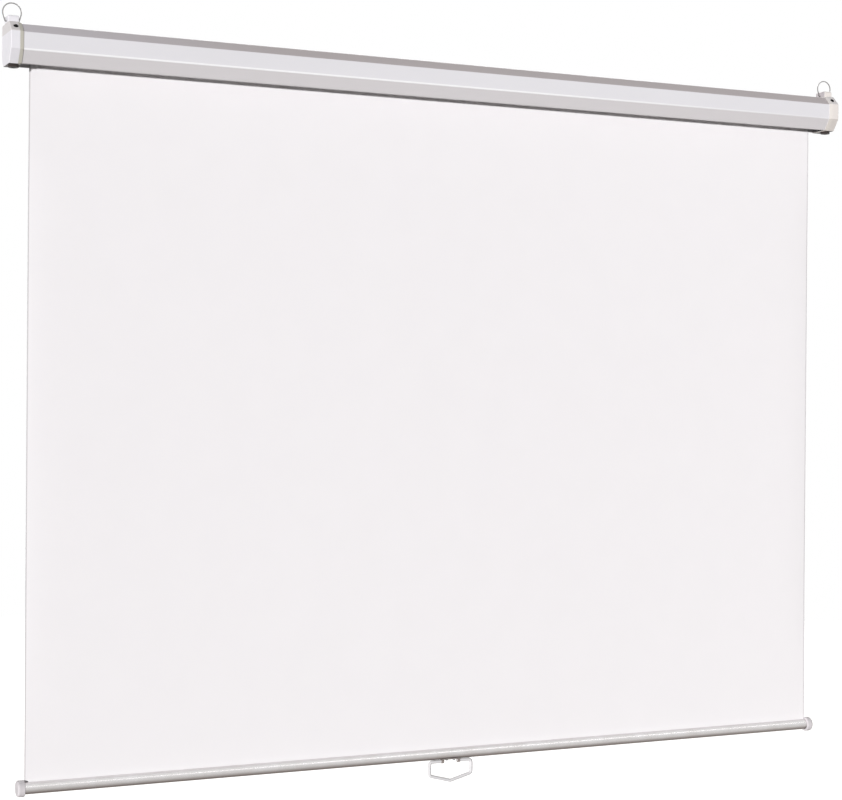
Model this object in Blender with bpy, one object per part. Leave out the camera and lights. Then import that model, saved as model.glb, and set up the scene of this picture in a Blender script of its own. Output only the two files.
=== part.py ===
"""Manual pull-down projector screen, pulled right down.

Metres, +Z up. The origin is the middle of the case's flat back, which lies against the wall plane y = 0.
The screen faces -Y, and +X is to the right of someone who looks at it. Along the case a piece is often placed
by its distance in from the end of the case, so that the left and right ends come from the same numbers.
"""

import math

import bmesh
import bpy
from mathutils import Matrix, Vector

# Screen and case
SCREEN_WIDTH = 1.707
SCREEN_DROP = 1.280          # white fabric below the case
FABRIC_THICK = 0.0005
FABRIC_TO_WALL = 0.0155
SIDE_MARGIN = 0.0415         # fabric edge to the end of the case, a mean of both ends
FABRIC_SHIFT = 0.004         # fabric and bar to the right of the case's middle, as the lock needs room
CASE_DEPTH = 0.070
CASE_HEIGHT = 0.070
TOP_CHAMFER = 0.0165         # as deep as it is high
FRONT_FACET = 0.0305
LOWER_SETBACK = 0.016
REAR_SETBACK = 0.0095
REAR_CHAMFER = 0.018         # its height
SHEET = 0.0009               # thickness of the case's sheet metal
BEND_RADIUS = 0.0022
SLOT_FRONT = 0.0315          # fabric to the front edge of the case's open underside
SLOT_REAR = 0.0030
LIP_HEIGHT = 0.006
GAP = 0.0003                 # clearance between pieces that touch

# End caps
CAP_WIDTH = 0.0227
CAP_RIM = 0.0068             # the part of that width that slopes down to the case
CAP_WALL = 0.003
CAP_EDGE = 0.0010
CAP_CORNER = 0.0026
CAP_PROUD_TOP = 0.0030
CAP_PROUD_FRONT = 0.0020
CAP_PROUD_BELOW = 0.0015
CAP_RIM_WALL = 0.0006
TONGUE_THICK = 0.0015
TONGUE_REACH = 0.009         # into the case, past the cap's end wall
LUG_WIDTH = 0.0195
LUG_DEPTH = 0.030
LUG_FORWARD = 0.033          # lug's middle to the wall
LUG_HEIGHT = 0.0125
LUG_CORNER = 0.004
LUG_INSET = 0.0003           # lug's outer face back from the cap's end face
BOSS_RADIUS = 0.0100
BOSS_HEIGHT = 0.0050
BOSS_FORWARD = 0.040         # boss centre to the wall

# Hang rings
RING_WIRE = 0.0024
RING_RADIUS = 0.0166         # of the round top, to the middle of the wire
RING_RISE = 0.0330           # pivot to the top, to the middle of the wire
RING_LEG_CLEAR = 0.0026      # side of the lug to the middle of the wire
RING_PIVOT_DROP = 0.0092     # top of the lug to the pivot
RING_GRIP = 0.0040           # how far each end reaches into the lug

# End plates and screws
PLATE_THICK = 0.0015
EAR_WIDTH = 0.012
EAR_REACH = 0.013
SCREW_INSET = 0.0105         # end of the case to the screws
SCREW_RADIUS = 0.0020
SCREW_HEAD_RADIUS = 0.0041
SCREW_HEAD_HEIGHT = 0.0020
SCREW_TIP = 0.0030           # how far it passes through the plate's ear
COUNTERBORE_TOP = 0.0009
COUNTERBORE_BELOW = 0.0015

# Roller
ROLLER_RADIUS = 0.0185
ROLLER_WALL = 0.0010
ROLLER_INSET = 0.0190        # end of the case to the end of the roller tube
SAFETY_TURNS_THICK = 0.00065
PLUG_FLANGE = 0.0035
PLUG_REACH = 0.0220
PLUG_RIB_DEPTH = 0.0010

# Fixed spindle, spring and gudgeon
SPINDLE_RADIUS = 0.0040
SPINDLE_FLAT = 0.0025        # half its thickness across the flats
SPRING_TURNS = 24
SPRING_PITCH = 0.0080
SPRING_RADIUS = 0.0085
SPRING_WIRE = 0.0020
SPRING_LEG = 0.0060
SPRING_LEG_SEAT = 0.0030
SPRING_BEND = 0.0020         # from each straight end into the coil
ANCHOR_RADIUS = 0.0110
ANCHOR_LENGTH = 0.0160
ANCHOR_PIN_RADIUS = 0.0012
GUDGEON_COLLAR_RADIUS = 0.0065
GUDGEON_COLLAR = 0.0020
GUDGEON_REACH = 0.0340
BUSH_WALL = 0.0017
BUSH_FLANGE_RADIUS = 0.0085
BUSH_FLANGE = 0.0015

# Automatic lock
NOTCHES = 4
RATCHET_RADIUS = 0.0080
RATCHET_ROOT = 0.0062
NOTCH_FACE_ANGLE = 92.0      # degrees round from +Y, towards +Z
NOTCH_RAMP = 38.0            # degrees from a notch's face to where its ramp runs out
PAWL_THICK = 0.0055
PAWL_PIN_ORBIT = 0.0135
PAWL_PIN_ANGLE = 50.0
PAWL_PIN_RADIUS = 0.0014
PAWL_PIN_HEAD = 0.0026
PAWL_PIN_HEAD_THICK = 0.0012
PAWL_PIN_SEAT = 0.0050
PAWL_BOSS_RADIUS = 0.0031
PAWL_REST_CLEAR = 0.0009     # tip to the outside of the ratchet when it is out
PAWL_TIP_THICK = 0.0024
PAWL_TIP_LEAN = 0.0006       # how far the end face leans back from the tip

# Bottom bar and handle
TUBE_RADIUS = 0.0110
TUBE_WALL = 0.0012
TUBE_SLOT = 0.0024
BAR_CAP_RADIUS = 0.0150
BAR_CAP_LENGTH = 0.0142
BAR_CAP_ROUND = 0.0040
BAR_CAP_SPIGOT = 0.0150
SADDLE_THICK = 0.0010
SADDLE_ARC = 44.0            # degrees each side of straight down
SADDLE_HALF_WIDTH = 0.0205
SADDLE_SCREW_X = 0.0080
SADDLE_SCREW_RADIUS = 0.0014
SADDLE_SCREW_HEAD = 0.0028
SADDLE_SCREW_HEAD_HEIGHT = 0.0012
EYE_BELOW_STRAP = 0.0026     # the strap's outer face to the handle's axis
EYE_RADIUS = 0.0041
EYE_LENGTH = 0.0055
HANDLE_WIRE = 0.0066
HANDLE_END_RADIUS = 0.0022
HANDLE_HALF_WIDTH = 0.0458   # to the middle of the wire, as are the next two
HANDLE_SIDE = 0.0270
HANDLE_APEX = 0.0390
HANDLE_CORNER = 0.0065
HANDLE_APEX_CORNER = 0.0090

# Fineness of round stretches
BEND_STEPS = 4
ROUND_STEPS = 32
SMALL_STEPS = 20

# What follows from the sizes above
HALF_LENGTH = SCREEN_WIDTH / 2 + SIDE_MARGIN
CASE_TOP = CASE_HEIGHT / 2
CASE_BOTTOM = -CASE_HEIGHT / 2
FABRIC_Y = -FABRIC_TO_WALL
ROLL_RADIUS = ROLLER_RADIUS + GAP + SAFETY_TURNS_THICK
ROLLER_Y = FABRIC_Y - FABRIC_THICK / 2 - GAP - ROLL_RADIUS
ROLLER_Z = 0.0
PLATE_START = CAP_WALL + GAP
PLATE_END = PLATE_START + PLATE_THICK
FLANGE_START = ROLLER_INSET - GAP - PLUG_FLANGE
PLUG_END = ROLLER_INSET + PLUG_REACH
PAWL_END = FLANGE_START - GAP
PAWL_START = PAWL_END - PAWL_THICK
SPRING_START = PLUG_END + GAP + SPRING_LEG
SPRING_END = SPRING_START + SPRING_TURNS * SPRING_PITCH
ANCHOR_START = SPRING_END + SPRING_LEG + GAP
BAR_Z = CASE_BOTTOM - SCREEN_DROP - TUBE_RADIUS
HANDLE_Z = BAR_Z - TUBE_RADIUS - GAP - SADDLE_THICK - EYE_BELOW_STRAP
LUG_Y = -LUG_FORWARD
LUG_TOP = CASE_TOP + CAP_PROUD_TOP + LUG_HEIGHT
RING_Z = LUG_TOP - RING_PIVOT_DROP
SCREW_HOLE = SCREW_RADIUS + GAP
SCREW_COUNTERBORE = SCREW_HEAD_RADIUS + 2 * GAP

SIDES = (("left", -1), ("right", 1))


def clear_scene():
    for obj in list(bpy.data.objects):
        bpy.data.objects.remove(obj, do_unlink=True)


def material(name, colour, roughness, metallic=0.0):
    made = bpy.data.materials.new(name)
    made.use_nodes = True
    shader = made.node_tree.nodes["Principled BSDF"]
    shader.inputs["Base Color"].default_value = (*colour, 1.0)
    shader.inputs["Roughness"].default_value = roughness
    shader.inputs["Metallic"].default_value = metallic
    return made


def finishes():
    """Name of each finish with its linear colour, roughness and metallic value."""
    return {
        "case_paint": ((0.80, 0.79, 0.80), 0.42),
        "cap_plastic": ((0.82, 0.80, 0.77), 0.45),
        "black_screw": ((0.010, 0.010, 0.011), 0.40, 0.6),
        "plated_steel": ((0.55, 0.55, 0.53), 0.35, 1.0),
        "bright_wire": ((0.62, 0.62, 0.62), 0.22, 1.0),
        "screen_vinyl": ((0.90, 0.89, 0.89), 0.75),
        "bar_metal": ((0.80, 0.79, 0.77), 0.28, 0.6),
        "bar_cap_plastic": ((0.60, 0.60, 0.60), 0.45),
        "white_plastic": ((0.85, 0.85, 0.84), 0.35),
        "nylon": ((0.70, 0.69, 0.62), 0.50),
        "spring_steel": ((0.30, 0.30, 0.31), 0.40, 1.0),
        "dark_steel": ((0.20, 0.20, 0.21), 0.45, 1.0),
    }


def pivot(name, place):
    """An empty on a joint's axis, which the pieces of that body hang from."""
    made = bpy.data.objects.new(name, None)
    made.location = place
    made.empty_display_size = 0.02
    bpy.context.scene.collection.objects.link(made)
    return made


def add_mesh(name, shape, finish, parent, sharp=35.0):
    """The bmesh as a smooth-shaded object whose origin is its parent's."""
    bmesh.ops.remove_doubles(shape, verts=shape.verts, dist=1e-7)
    bmesh.ops.recalc_face_normals(shape, faces=shape.faces)
    bmesh.ops.translate(shape, verts=shape.verts, vec=-parent.location)
    mesh = bpy.data.meshes.new(name)
    shape.to_mesh(mesh)
    shape.free()
    mesh.shade_smooth()
    mesh.set_sharp_from_angle(angle=math.radians(sharp))
    made = bpy.data.objects.new(name, mesh)
    made.parent = parent
    bpy.context.scene.collection.objects.link(made)
    if finish:
        mesh.materials.append(finish)
    return made


def add_helper(name, shape, parent):
    """A shape that only cuts or joins others, kept out of the model itself."""
    made = add_mesh(name, shape, None, parent)
    made.hide_render = True
    made.display_type = "WIRE"
    return made


def combine(target, helper, operation="DIFFERENCE"):
    modifier = target.modifiers.new(helper.name, "BOOLEAN")
    modifier.operation = operation
    modifier.solver = "EXACT"
    modifier.object = helper


def offset_outline(corners, moves):
    """A closed anticlockwise outline with each edge moved outwards by its own distance."""
    lines = []
    for (y0, z0), (y1, z1), move in zip(corners, corners[1:] + corners[:1], moves):
        length = math.hypot(y1 - y0, z1 - z0)
        ny, nz = (z1 - z0) / length, (y0 - y1) / length
        lines.append((ny, nz, ny * y0 + nz * z0 + move))
    moved = []
    for (a, b, c), (d, e, f) in zip(lines[-1:] + lines[:-1], lines):
        det = a * e - b * d
        moved.append(((c * e - b * f) / det, (a * f - c * d) / det))
    return moved


def arc_at(before, corner, after, radius, steps):
    """Points of the fillet at a corner, with a radius that both neighbours have room for."""
    corner_at = Vector(corner)
    back = Vector(before) - corner_at
    ahead = Vector(after) - corner_at
    half = back.angle(ahead) / 2
    reach = min(radius / math.tan(half), 0.45 * back.length, 0.45 * ahead.length)
    radius = reach * math.tan(half)
    centre = corner_at + (back.normalized() + ahead.normalized()).normalized() * (radius / math.sin(half))
    start = corner_at + back.normalized() * reach - centre
    end = corner_at + ahead.normalized() * reach - centre
    points = []
    for step in range(steps + 1):
        along = start.lerp(end, step / steps).normalized() * radius
        points.append(tuple(centre + along))
    return points


def round_corners(corners, radius, steps=BEND_STEPS):
    points = []
    for before, corner, after in zip(corners[-1:] + corners[:-1], corners, corners[1:] + corners[:1]):
        points += arc_at(before, corner, after, radius, steps)
    return points


def round_path(corners, radii, steps=BEND_STEPS):
    """An open path with a fillet at each inner corner; radii has one value for each of those."""
    points = [tuple(corners[0])]
    for before, corner, after, radius in zip(corners, corners[1:], corners[2:], radii):
        points += arc_at(before, corner, after, radius, steps)
    return points + [tuple(corners[-1])]


def offset_path(points, distance):
    """An open path moved to its right-hand side, with mitred joints."""
    rights = []
    for (y0, z0), (y1, z1) in zip(points, points[1:]):
        rights.append(Vector((z1 - z0, y0 - y1)).normalized())
    moved = []
    for point, before, after in zip(points, rights[:1] + rights, rights + rights[-1:]):
        mitre = (before + after) / (1 + before.dot(after))
        moved.append(tuple(Vector(point) + distance * mitre))
    return moved


def loft(shape, rings):
    """A closed skin over rings of points, in order, with a face on the first and last."""
    rows = [[shape.verts.new(point) for point in ring] for ring in rings]
    for near, far in zip(rows, rows[1:]):
        for i in range(len(near)):
            j = (i + 1) % len(near)
            shape.faces.new((near[i], near[j], far[j], far[i]))
    shape.faces.new(rows[0])
    shape.faces.new(rows[-1])


def prism(shape, outline, x0, x1):
    loft(shape, [[(x, y, z) for y, z in outline] for x in (x0, x1)])


def box(shape, low, high):
    outline = [(low[1], low[2]), (high[1], low[2]), (high[1], high[2]), (low[1], high[2])]
    prism(shape, outline, low[0], high[0])


def sheet_prism(shape, outer, inner, x0, x1):
    """A bent sheet between two open paths of as many points, extruded along X."""
    rows = [[[shape.verts.new((x, y, z)) for y, z in path] for path in (outer, inner)] for x in (x0, x1)]
    (outer0, inner0), (outer1, inner1) = rows
    for i in range(len(outer) - 1):
        for a, b in ((outer0, outer1), (inner1, inner0), (inner0, outer0), (outer1, inner1)):
            shape.faces.new((a[i], a[i + 1], b[i + 1], b[i]))
    for i in (0, -1):
        shape.faces.new((outer0[i], inner0[i], inner1[i], outer1[i]))


def turned(profile, steps=ROUND_STEPS, closed=False):
    """A shape turned about the X axis from (x, radius) points; an open profile ends on the axis."""
    shape = bmesh.new()
    points = [shape.verts.new((x, radius, 0)) for x, radius in profile]
    ends = points[1:] + points[:1] if closed else points[1:]
    edges = [shape.edges.new(pair) for pair in zip(points, ends)]
    bmesh.ops.spin(
        shape, geom=points + edges, cent=(0, 0, 0), axis=(1, 0, 0),
        angle=math.tau, steps=steps, use_merge=True)
    bmesh.ops.remove_doubles(shape, verts=shape.verts, dist=1e-7)
    return shape


def placed(shape, matrix):
    bmesh.ops.transform(shape, matrix=matrix, verts=shape.verts)
    return shape


def from_end(side, inset, y=0.0, z=0.0):
    """Puts local +X, measured from an end of the case, inwards from that end, about the line at (y, z)."""
    return Matrix.Translation((side * (HALF_LENGTH - inset), y, z)) @ Matrix.Diagonal((-side, 1, 1, 1))


def case_corners():
    """The case's outside section as (y, z), anticlockwise from the top rear, as if it were closed below."""
    return [
        (0, CASE_TOP),
        (-CASE_DEPTH + TOP_CHAMFER, CASE_TOP),
        (-CASE_DEPTH, CASE_TOP - TOP_CHAMFER),
        (-CASE_DEPTH, CASE_TOP - TOP_CHAMFER - FRONT_FACET),
        (-CASE_DEPTH + LOWER_SETBACK, CASE_BOTTOM),
        (-REAR_SETBACK, CASE_BOTTOM),
        (0, CASE_BOTTOM + REAR_CHAMFER),
    ]


def section(top, top_chamfer, front, lower, bottom, rear_chamfer, back):
    """The case's section with each facet moved outwards by its own distance."""
    return offset_outline(case_corners(), [top, top_chamfer, front, lower, bottom, rear_chamfer, back])


def facing(x, point, outward):
    """Local +X turned to look straight out of a facet of the section, at x along the case."""
    turn = Matrix.Rotation(math.atan2(outward[1], outward[0]), 4, "X") @ Matrix.Rotation(math.pi / 2, 4, "Z")
    return Matrix.Translation((x, *point)) @ turn


def screw_spots():
    """An end's two screws: name, distance from the end, facet point, outward direction, seat height."""
    chamfer = (-CASE_DEPTH + TOP_CHAMFER / 2, CASE_TOP - TOP_CHAMFER / 2)
    chamfer_seat = (CAP_PROUD_TOP + CAP_PROUD_FRONT) / 2 - COUNTERBORE_TOP
    boss_seat = CAP_PROUD_BELOW + BOSS_HEIGHT - COUNTERBORE_BELOW
    return (
        ("top", SCREW_INSET, chamfer, (-math.sqrt(0.5), math.sqrt(0.5)), chamfer_seat),
        ("bottom", CAP_WIDTH / 2, (-BOSS_FORWARD, CASE_BOTTOM), (0, -1), boss_seat),
    )


def screw_axes(side):
    """Name, axis and seat height of both screws of an end."""
    return [(name, facing(side * (HALF_LENGTH - inset), point, outward), seat)
            for name, inset, point, outward, seat in screw_spots()]


def slot_edges():
    """The front and rear edge of the opening that the roller goes in by and the fabric comes out of."""
    return FABRIC_Y - SLOT_FRONT, FABRIC_Y + SLOT_REAR


def case_shell(finish, parent, holes):
    front, rear = slot_edges()
    corners = case_corners()
    lip_top = CASE_BOTTOM + LIP_HEIGHT
    way_round = [(front, lip_top), (front, CASE_BOTTOM)]
    way_round += corners[4:0:-1] + corners[:1] + corners[:4:-1]
    way_round += [(rear, CASE_BOTTOM), (rear, lip_top)]
    outer = round_path(way_round, [BEND_RADIUS] * (len(way_round) - 2))
    inner = offset_path(outer, SHEET)
    half = HALF_LENGTH - CAP_WALL - GAP
    shape = bmesh.new()
    sheet_prism(shape, outer, inner, -half, half)
    made = add_mesh("case_shell", shape, finish, parent)
    for hole in holes:
        combine(made, hole)


def screw_holes(side, label, parent):
    """Room for an end's two screws: a hole through cap, case and ear, and a counterbore outside the seat."""
    made = []
    inside = -SHEET - GAP - PLATE_THICK - SCREW_TIP
    for name, axis, seat in screw_axes(side):
        outside = seat + 0.02
        profile = [(inside, 0), (inside, SCREW_HOLE), (seat, SCREW_HOLE), (seat, SCREW_COUNTERBORE),
                   (outside, SCREW_COUNTERBORE), (outside, 0)]
        made.append(add_helper(f"hole_{name}_{label}", placed(turned(profile, SMALL_STEPS), axis), parent))
    return made


def cap_body(side):
    """The cap's outside: a bevelled end face, a full band and a rim that slopes down to the case."""
    proud = (CAP_PROUD_TOP, (CAP_PROUD_TOP + CAP_PROUD_FRONT) / 2, CAP_PROUD_FRONT,
             (CAP_PROUD_FRONT + CAP_PROUD_BELOW) / 2, CAP_PROUD_BELOW, CAP_PROUD_BELOW, 0)
    inset = [move - CAP_EDGE for move in proud]
    rim = [GAP + CAP_RIM_WALL] * 6 + [0]
    stations = ((0, inset), (CAP_EDGE, proud), (CAP_WIDTH - CAP_RIM, proud), (CAP_WIDTH, rim))
    shape = bmesh.new()
    rings = []
    for along, moves in stations:
        x = side * (HALF_LENGTH - along)
        rings.append([(x, y, z) for y, z in round_corners(section(*moves), CAP_CORNER)])
    loft(shape, rings)
    return shape


def cap_cavity(side):
    """The room inside the skirt, open at the back, where the case lies flat on the wall."""
    shape = bmesh.new()
    outline = round_corners(section(*[GAP] * 6, 0.01), BEND_RADIUS + GAP)
    prism(shape, outline, side * (HALF_LENGTH - CAP_WALL), side * (HALF_LENGTH - CAP_WIDTH - 0.01))
    return shape


def cap_lug(side):
    """The block that the hang ring hooks into, with rounded top edges and bevelled ends."""
    foot = CASE_TOP + CAP_RIM_WALL
    shape = bmesh.new()
    rings = []
    for along, inset in ((0, CAP_EDGE), (CAP_EDGE, 0), (LUG_WIDTH - CAP_EDGE, 0), (LUG_WIDTH, CAP_EDGE)):
        x = side * (HALF_LENGTH - LUG_INSET - along)
        rear, front = LUG_Y + LUG_DEPTH / 2 - inset, LUG_Y - LUG_DEPTH / 2 + inset
        top = LUG_TOP - inset
        outline = round_path([(rear, foot), (rear, top), (front, top), (front, foot)], [LUG_CORNER] * 2)
        rings.append([(x, y, z) for y, z in outline])
    loft(shape, rings)
    return shape


def cap_boss(side):
    """The round boss under the cap, which the bottom screw goes through."""
    sunk = CAP_PROUD_BELOW / 2
    base = CAP_PROUD_BELOW + BOSS_HEIGHT
    edge = 1.5 * CAP_EDGE
    narrow = BOSS_RADIUS - edge
    profile = [(sunk, 0), (sunk, BOSS_RADIUS), (base - edge, BOSS_RADIUS), (base, narrow), (base, 0)]
    _, axis, _ = screw_axes(side)[1]
    return placed(turned(profile), axis)


def cap_tongues(side):
    """Flat tongues on the inside of the end wall that centre the case's sheet: top, front and back."""
    near = CAP_WALL / 2
    far = CAP_WALL + TONGUE_REACH
    clear = SHEET + GAP
    thick = TONGUE_THICK
    top = CASE_TOP - clear
    spans = (
        ((-CASE_DEPTH / 2 - LUG_DEPTH / 2, top - thick), (-CASE_DEPTH / 2 + LUG_DEPTH / 2, top)),
        ((-CASE_DEPTH + clear, CASE_TOP - TOP_CHAMFER - 0.8 * FRONT_FACET),
         (-CASE_DEPTH + clear + thick, CASE_TOP - TOP_CHAMFER - 0.2 * FRONT_FACET)),
        ((-clear - thick, -0.2 * CASE_HEIGHT), (-clear, 0.2 * CASE_HEIGHT)),
    )
    shape = bmesh.new()
    for (y0, z0), (y1, z1) in spans:
        xs = sorted((side * (HALF_LENGTH - near), side * (HALF_LENGTH - far)))
        box(shape, (xs[0], y0, z0), (xs[1], y1, z1))
    return shape


def end_cap(side, label, finish, parent, holes):
    made = add_mesh(f"end_cap_{label}", cap_body(side), finish, parent)
    combine(made, add_helper(f"cap_cavity_{label}", cap_cavity(side), parent))
    for part, shape in (("lug", cap_lug(side)), ("boss", cap_boss(side)), ("tongues", cap_tongues(side))):
        combine(made, add_helper(f"cap_{part}_{label}", shape, parent), "UNION")
    for hole in holes:
        combine(made, hole)
    past = 0.005
    bore = turned([(-past, 0), (-past, RING_WIRE / 2 + GAP), (LUG_WIDTH + past, RING_WIRE / 2 + GAP),
                   (LUG_WIDTH + past, 0)], SMALL_STEPS)
    place = from_end(side, 0, LUG_Y, RING_Z)
    combine(made, add_helper(f"ring_bore_{label}", placed(bore, place), parent))


def cap_screws(side, label, finish, parent):
    """Two pan-head screws. Each head rests on its seat, and each tip reaches through the end plate's ear."""
    tip = -SHEET - GAP - PLATE_THICK - SCREW_TIP
    for name, axis, seat in screw_axes(side):
        under = seat + GAP
        crown = under + SCREW_HEAD_HEIGHT
        profile = [
            (tip, 0), (tip, 0.35 * SCREW_RADIUS), (tip + SCREW_RADIUS, SCREW_RADIUS), (under, SCREW_RADIUS),
            (under, SCREW_HEAD_RADIUS), (under + 0.4 * SCREW_HEAD_HEIGHT, SCREW_HEAD_RADIUS),
            (under + 0.8 * SCREW_HEAD_HEIGHT, 0.8 * SCREW_HEAD_RADIUS), (crown, 0.4 * SCREW_HEAD_RADIUS),
            (crown, 0),
        ]
        shape = placed(turned(profile, SMALL_STEPS), axis)
        add_mesh(f"cap_screw_{name}_{label}", shape, finish, parent, 50)


def hang_ring(side, label, finish):
    """A wire ring: a round top, two straight legs that run in to the lug, and ends turned into its sides."""
    leg = LUG_WIDTH / 2 + RING_LEG_CLEAR
    centre = RING_RISE - RING_RADIUS
    reach = math.hypot(leg, centre)
    tangent = math.acos(RING_RADIUS / reach) - math.atan2(centre, leg)
    steps = 22
    arch = []
    for step in range(steps + 1):
        angle = math.pi - tangent + (2 * tangent - math.pi) * step / steps
        arch.append((RING_RADIUS * math.cos(angle), centre + RING_RADIUS * math.sin(angle)))
    end = LUG_WIDTH / 2 - RING_GRIP
    bend = 0.8 * RING_LEG_CLEAR
    points = [(-end, 0)] + arc_at((-end, 0), (-leg, 0), arch[0], bend, BEND_STEPS) + arch
    points += arc_at(arch[-1], (leg, 0), (end, 0), bend, BEND_STEPS) + [(end, 0)]
    name = f"hang_ring_{label}"
    middle = side * (HALF_LENGTH - LUG_INSET - LUG_WIDTH / 2)
    parent = pivot(f"{name}_pivot", (middle, LUG_Y, RING_Z))
    wire(name, [(x, 0, z) for x, z in points], RING_WIRE / 2, finish, parent, resolution=2)


def wire(name, points, radius, finish, parent, resolution, thin=None):
    """A round wire along points from its parent's origin. thin gives some points a share of the radius."""
    curve = bpy.data.curves.new(name, "CURVE")
    curve.dimensions = "3D"
    curve.bevel_depth = radius
    curve.bevel_resolution = resolution
    curve.use_fill_caps = True
    spline = curve.splines.new("POLY")
    spline.points.add(len(points) - 1)
    spline.use_smooth = True
    for index, (point, (x, y, z)) in enumerate(zip(spline.points, points)):
        point.co = (x, y, z, 1)
        point.radius = thin.get(index, 1.0) if thin else 1.0
    curve.materials.append(finish)
    made = bpy.data.objects.new(name, curve)
    made.parent = parent
    bpy.context.scene.collection.objects.link(made)
    return made


def flat_sided(radius, flat, steps=SMALL_STEPS):
    """A circle as (y, z) cut off above and below at the flats."""
    points = []
    for step in range(steps):
        angle = math.tau * (step + 0.5) / steps
        y, z = radius * math.cos(angle), radius * math.sin(angle)
        points.append((y, max(-flat, min(flat, z))))
    return points


def end_plate(side, label, finish, parent, holes):
    """A steel plate inside the end cap. Its folded ears take the cap's screws, and it carries the roller."""
    to_shell = -(SHEET + GAP)
    to_tongue = to_shell - TONGUE_THICK - GAP
    edge = to_shell - PLATE_THICK / 8
    outline = section(to_tongue, edge, to_tongue, edge, edge, edge, to_tongue)
    shape = bmesh.new()
    prism(shape, round_corners(outline, BEND_RADIUS, 2),
          side * (HALF_LENGTH - PLATE_START), side * (HALF_LENGTH - PLATE_END))
    made = add_mesh(f"end_plate_{label}", shape, finish, parent)
    for name, _, point, outward, _ in screw_spots():
        spot, out = Vector(point), Vector(outward)
        across = out.orthogonal() * EAR_WIDTH / 2
        inner, outer = spot + out * (to_shell - PLATE_THICK), spot + out * to_shell
        near = HALF_LENGTH - PLATE_START - PLATE_THICK / 8
        far = HALF_LENGTH - PLATE_START - EAR_REACH
        ear = bmesh.new()
        prism(ear, [inner - across, outer - across, outer + across, inner + across], side * near, side * far)
        combine(made, add_helper(f"ear_{name}_{label}", ear, parent), "UNION")
    for hole in holes:
        combine(made, hole)
    combine(made, add_helper(f"lip_notches_{label}", lip_notches(side), parent))
    if side < 0:
        seat = flat_sided(SPINDLE_RADIUS + GAP, SPINDLE_FLAT + GAP)
    else:
        seat = flat_sided(bush_radius() + GAP, bush_radius() + GAP)
    opening = bmesh.new()
    prism(opening, seat, -PLATE_THICK, 2 * PLATE_THICK)
    place = from_end(side, PLATE_START, ROLLER_Y, ROLLER_Z)
    combine(made, add_helper(f"plate_opening_{label}", placed(opening, place), parent))


def lip_notches(side):
    """Room in the end plate's lower edge and ear for the case's two lips and the bends below them."""
    front, rear = slot_edges()
    bend = BEND_RADIUS + GAP
    top = CASE_BOTTOM + LIP_HEIGHT + GAP
    ends = side * (HALF_LENGTH - CAP_WALL), side * (HALF_LENGTH - PLATE_START - EAR_REACH - GAP)
    shape = bmesh.new()
    for y0, y1 in ((front - bend, front + GAP), (rear - GAP, rear + bend)):
        prism(shape, [(y0, 2 * CASE_BOTTOM), (y1, 2 * CASE_BOTTOM), (y1, top), (y0, top)], *ends)
    return shape


def bush_radius():
    return SPINDLE_RADIUS + GAP + BUSH_WALL


def gudgeon_bush(finish, parent):
    """A flanged nylon bush through the right end plate."""
    bore = SPINDLE_RADIUS + GAP
    flange = PLATE_END + GAP
    end = flange + BUSH_FLANGE
    profile = [(PLATE_START, bore), (PLATE_START, bush_radius()), (flange, bush_radius()),
               (flange, BUSH_FLANGE_RADIUS), (end, BUSH_FLANGE_RADIUS), (end, bore)]
    shape = placed(turned(profile, SMALL_STEPS, closed=True), from_end(1, 0, ROLLER_Y, ROLLER_Z))
    add_mesh("gudgeon_bush", shape, finish, parent)


def spring_spindle(finish, parent):
    """The rod that doesn't turn: flat-sided where it passes the left end plate and the ratchet collar."""
    end = ANCHOR_START + ANCHOR_LENGTH
    shape = bmesh.new()
    flat = flat_sided(SPINDLE_RADIUS, SPINDLE_FLAT)
    full = flat_sided(SPINDLE_RADIUS, SPINDLE_RADIUS)
    run_out = FLANGE_START + 0.001
    rings = []
    for along, outline in ((PLATE_START, flat), (FLANGE_START, flat), (run_out, full), (end, full)):
        rings.append([(along, y, z) for y, z in outline])
    loft(shape, rings)
    made = add_mesh("spring_spindle", placed(shape, from_end(-1, 0, ROLLER_Y, ROLLER_Z)), finish, parent)
    return made


def spring_anchor(finish, pin_finish, parent, spindle):
    """The collar on the spindle's inner end that holds the spring's fixed end, and its cross pin."""
    bore = SPINDLE_RADIUS + GAP
    end = ANCHOR_START + ANCHOR_LENGTH
    groove = ANCHOR_START + 0.25 * ANCHOR_LENGTH
    profile = [
        (ANCHOR_START, bore), (ANCHOR_START, ANCHOR_RADIUS), (groove, ANCHOR_RADIUS),
        (groove + 0.001, 0.85 * ANCHOR_RADIUS), (end, 0.85 * ANCHOR_RADIUS), (end, bore),
    ]
    shape = placed(turned(profile, SMALL_STEPS, closed=True), from_end(-1, 0, ROLLER_Y, ROLLER_Z))
    made = add_mesh("spring_anchor", shape, finish, parent)
    seat = spring_seat(ANCHOR_START, 1, SPRING_TURNS * math.tau)
    combine(made, add_helper("anchor_leg_seat", seat, parent))
    cross = ANCHOR_START + 0.65 * ANCHOR_LENGTH
    upright = from_end(-1, cross, ROLLER_Y, ROLLER_Z) @ Matrix.Rotation(math.radians(90), 4, "Y")
    reach = ANCHOR_RADIUS + 0.002
    radius = ANCHOR_PIN_RADIUS + GAP
    hole = placed(turned([(-reach, 0), (-reach, radius), (reach, radius), (reach, 0)], SMALL_STEPS), upright)
    helper = add_helper("anchor_pin_hole", hole, parent)
    combine(made, helper)
    combine(spindle, helper)
    half = 0.85 * ANCHOR_RADIUS
    pin = turned([(-half, 0), (-half, ANCHOR_PIN_RADIUS), (half, ANCHOR_PIN_RADIUS), (half, 0)], SMALL_STEPS)
    add_mesh("anchor_pin", placed(pin, upright), pin_finish, parent)


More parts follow.
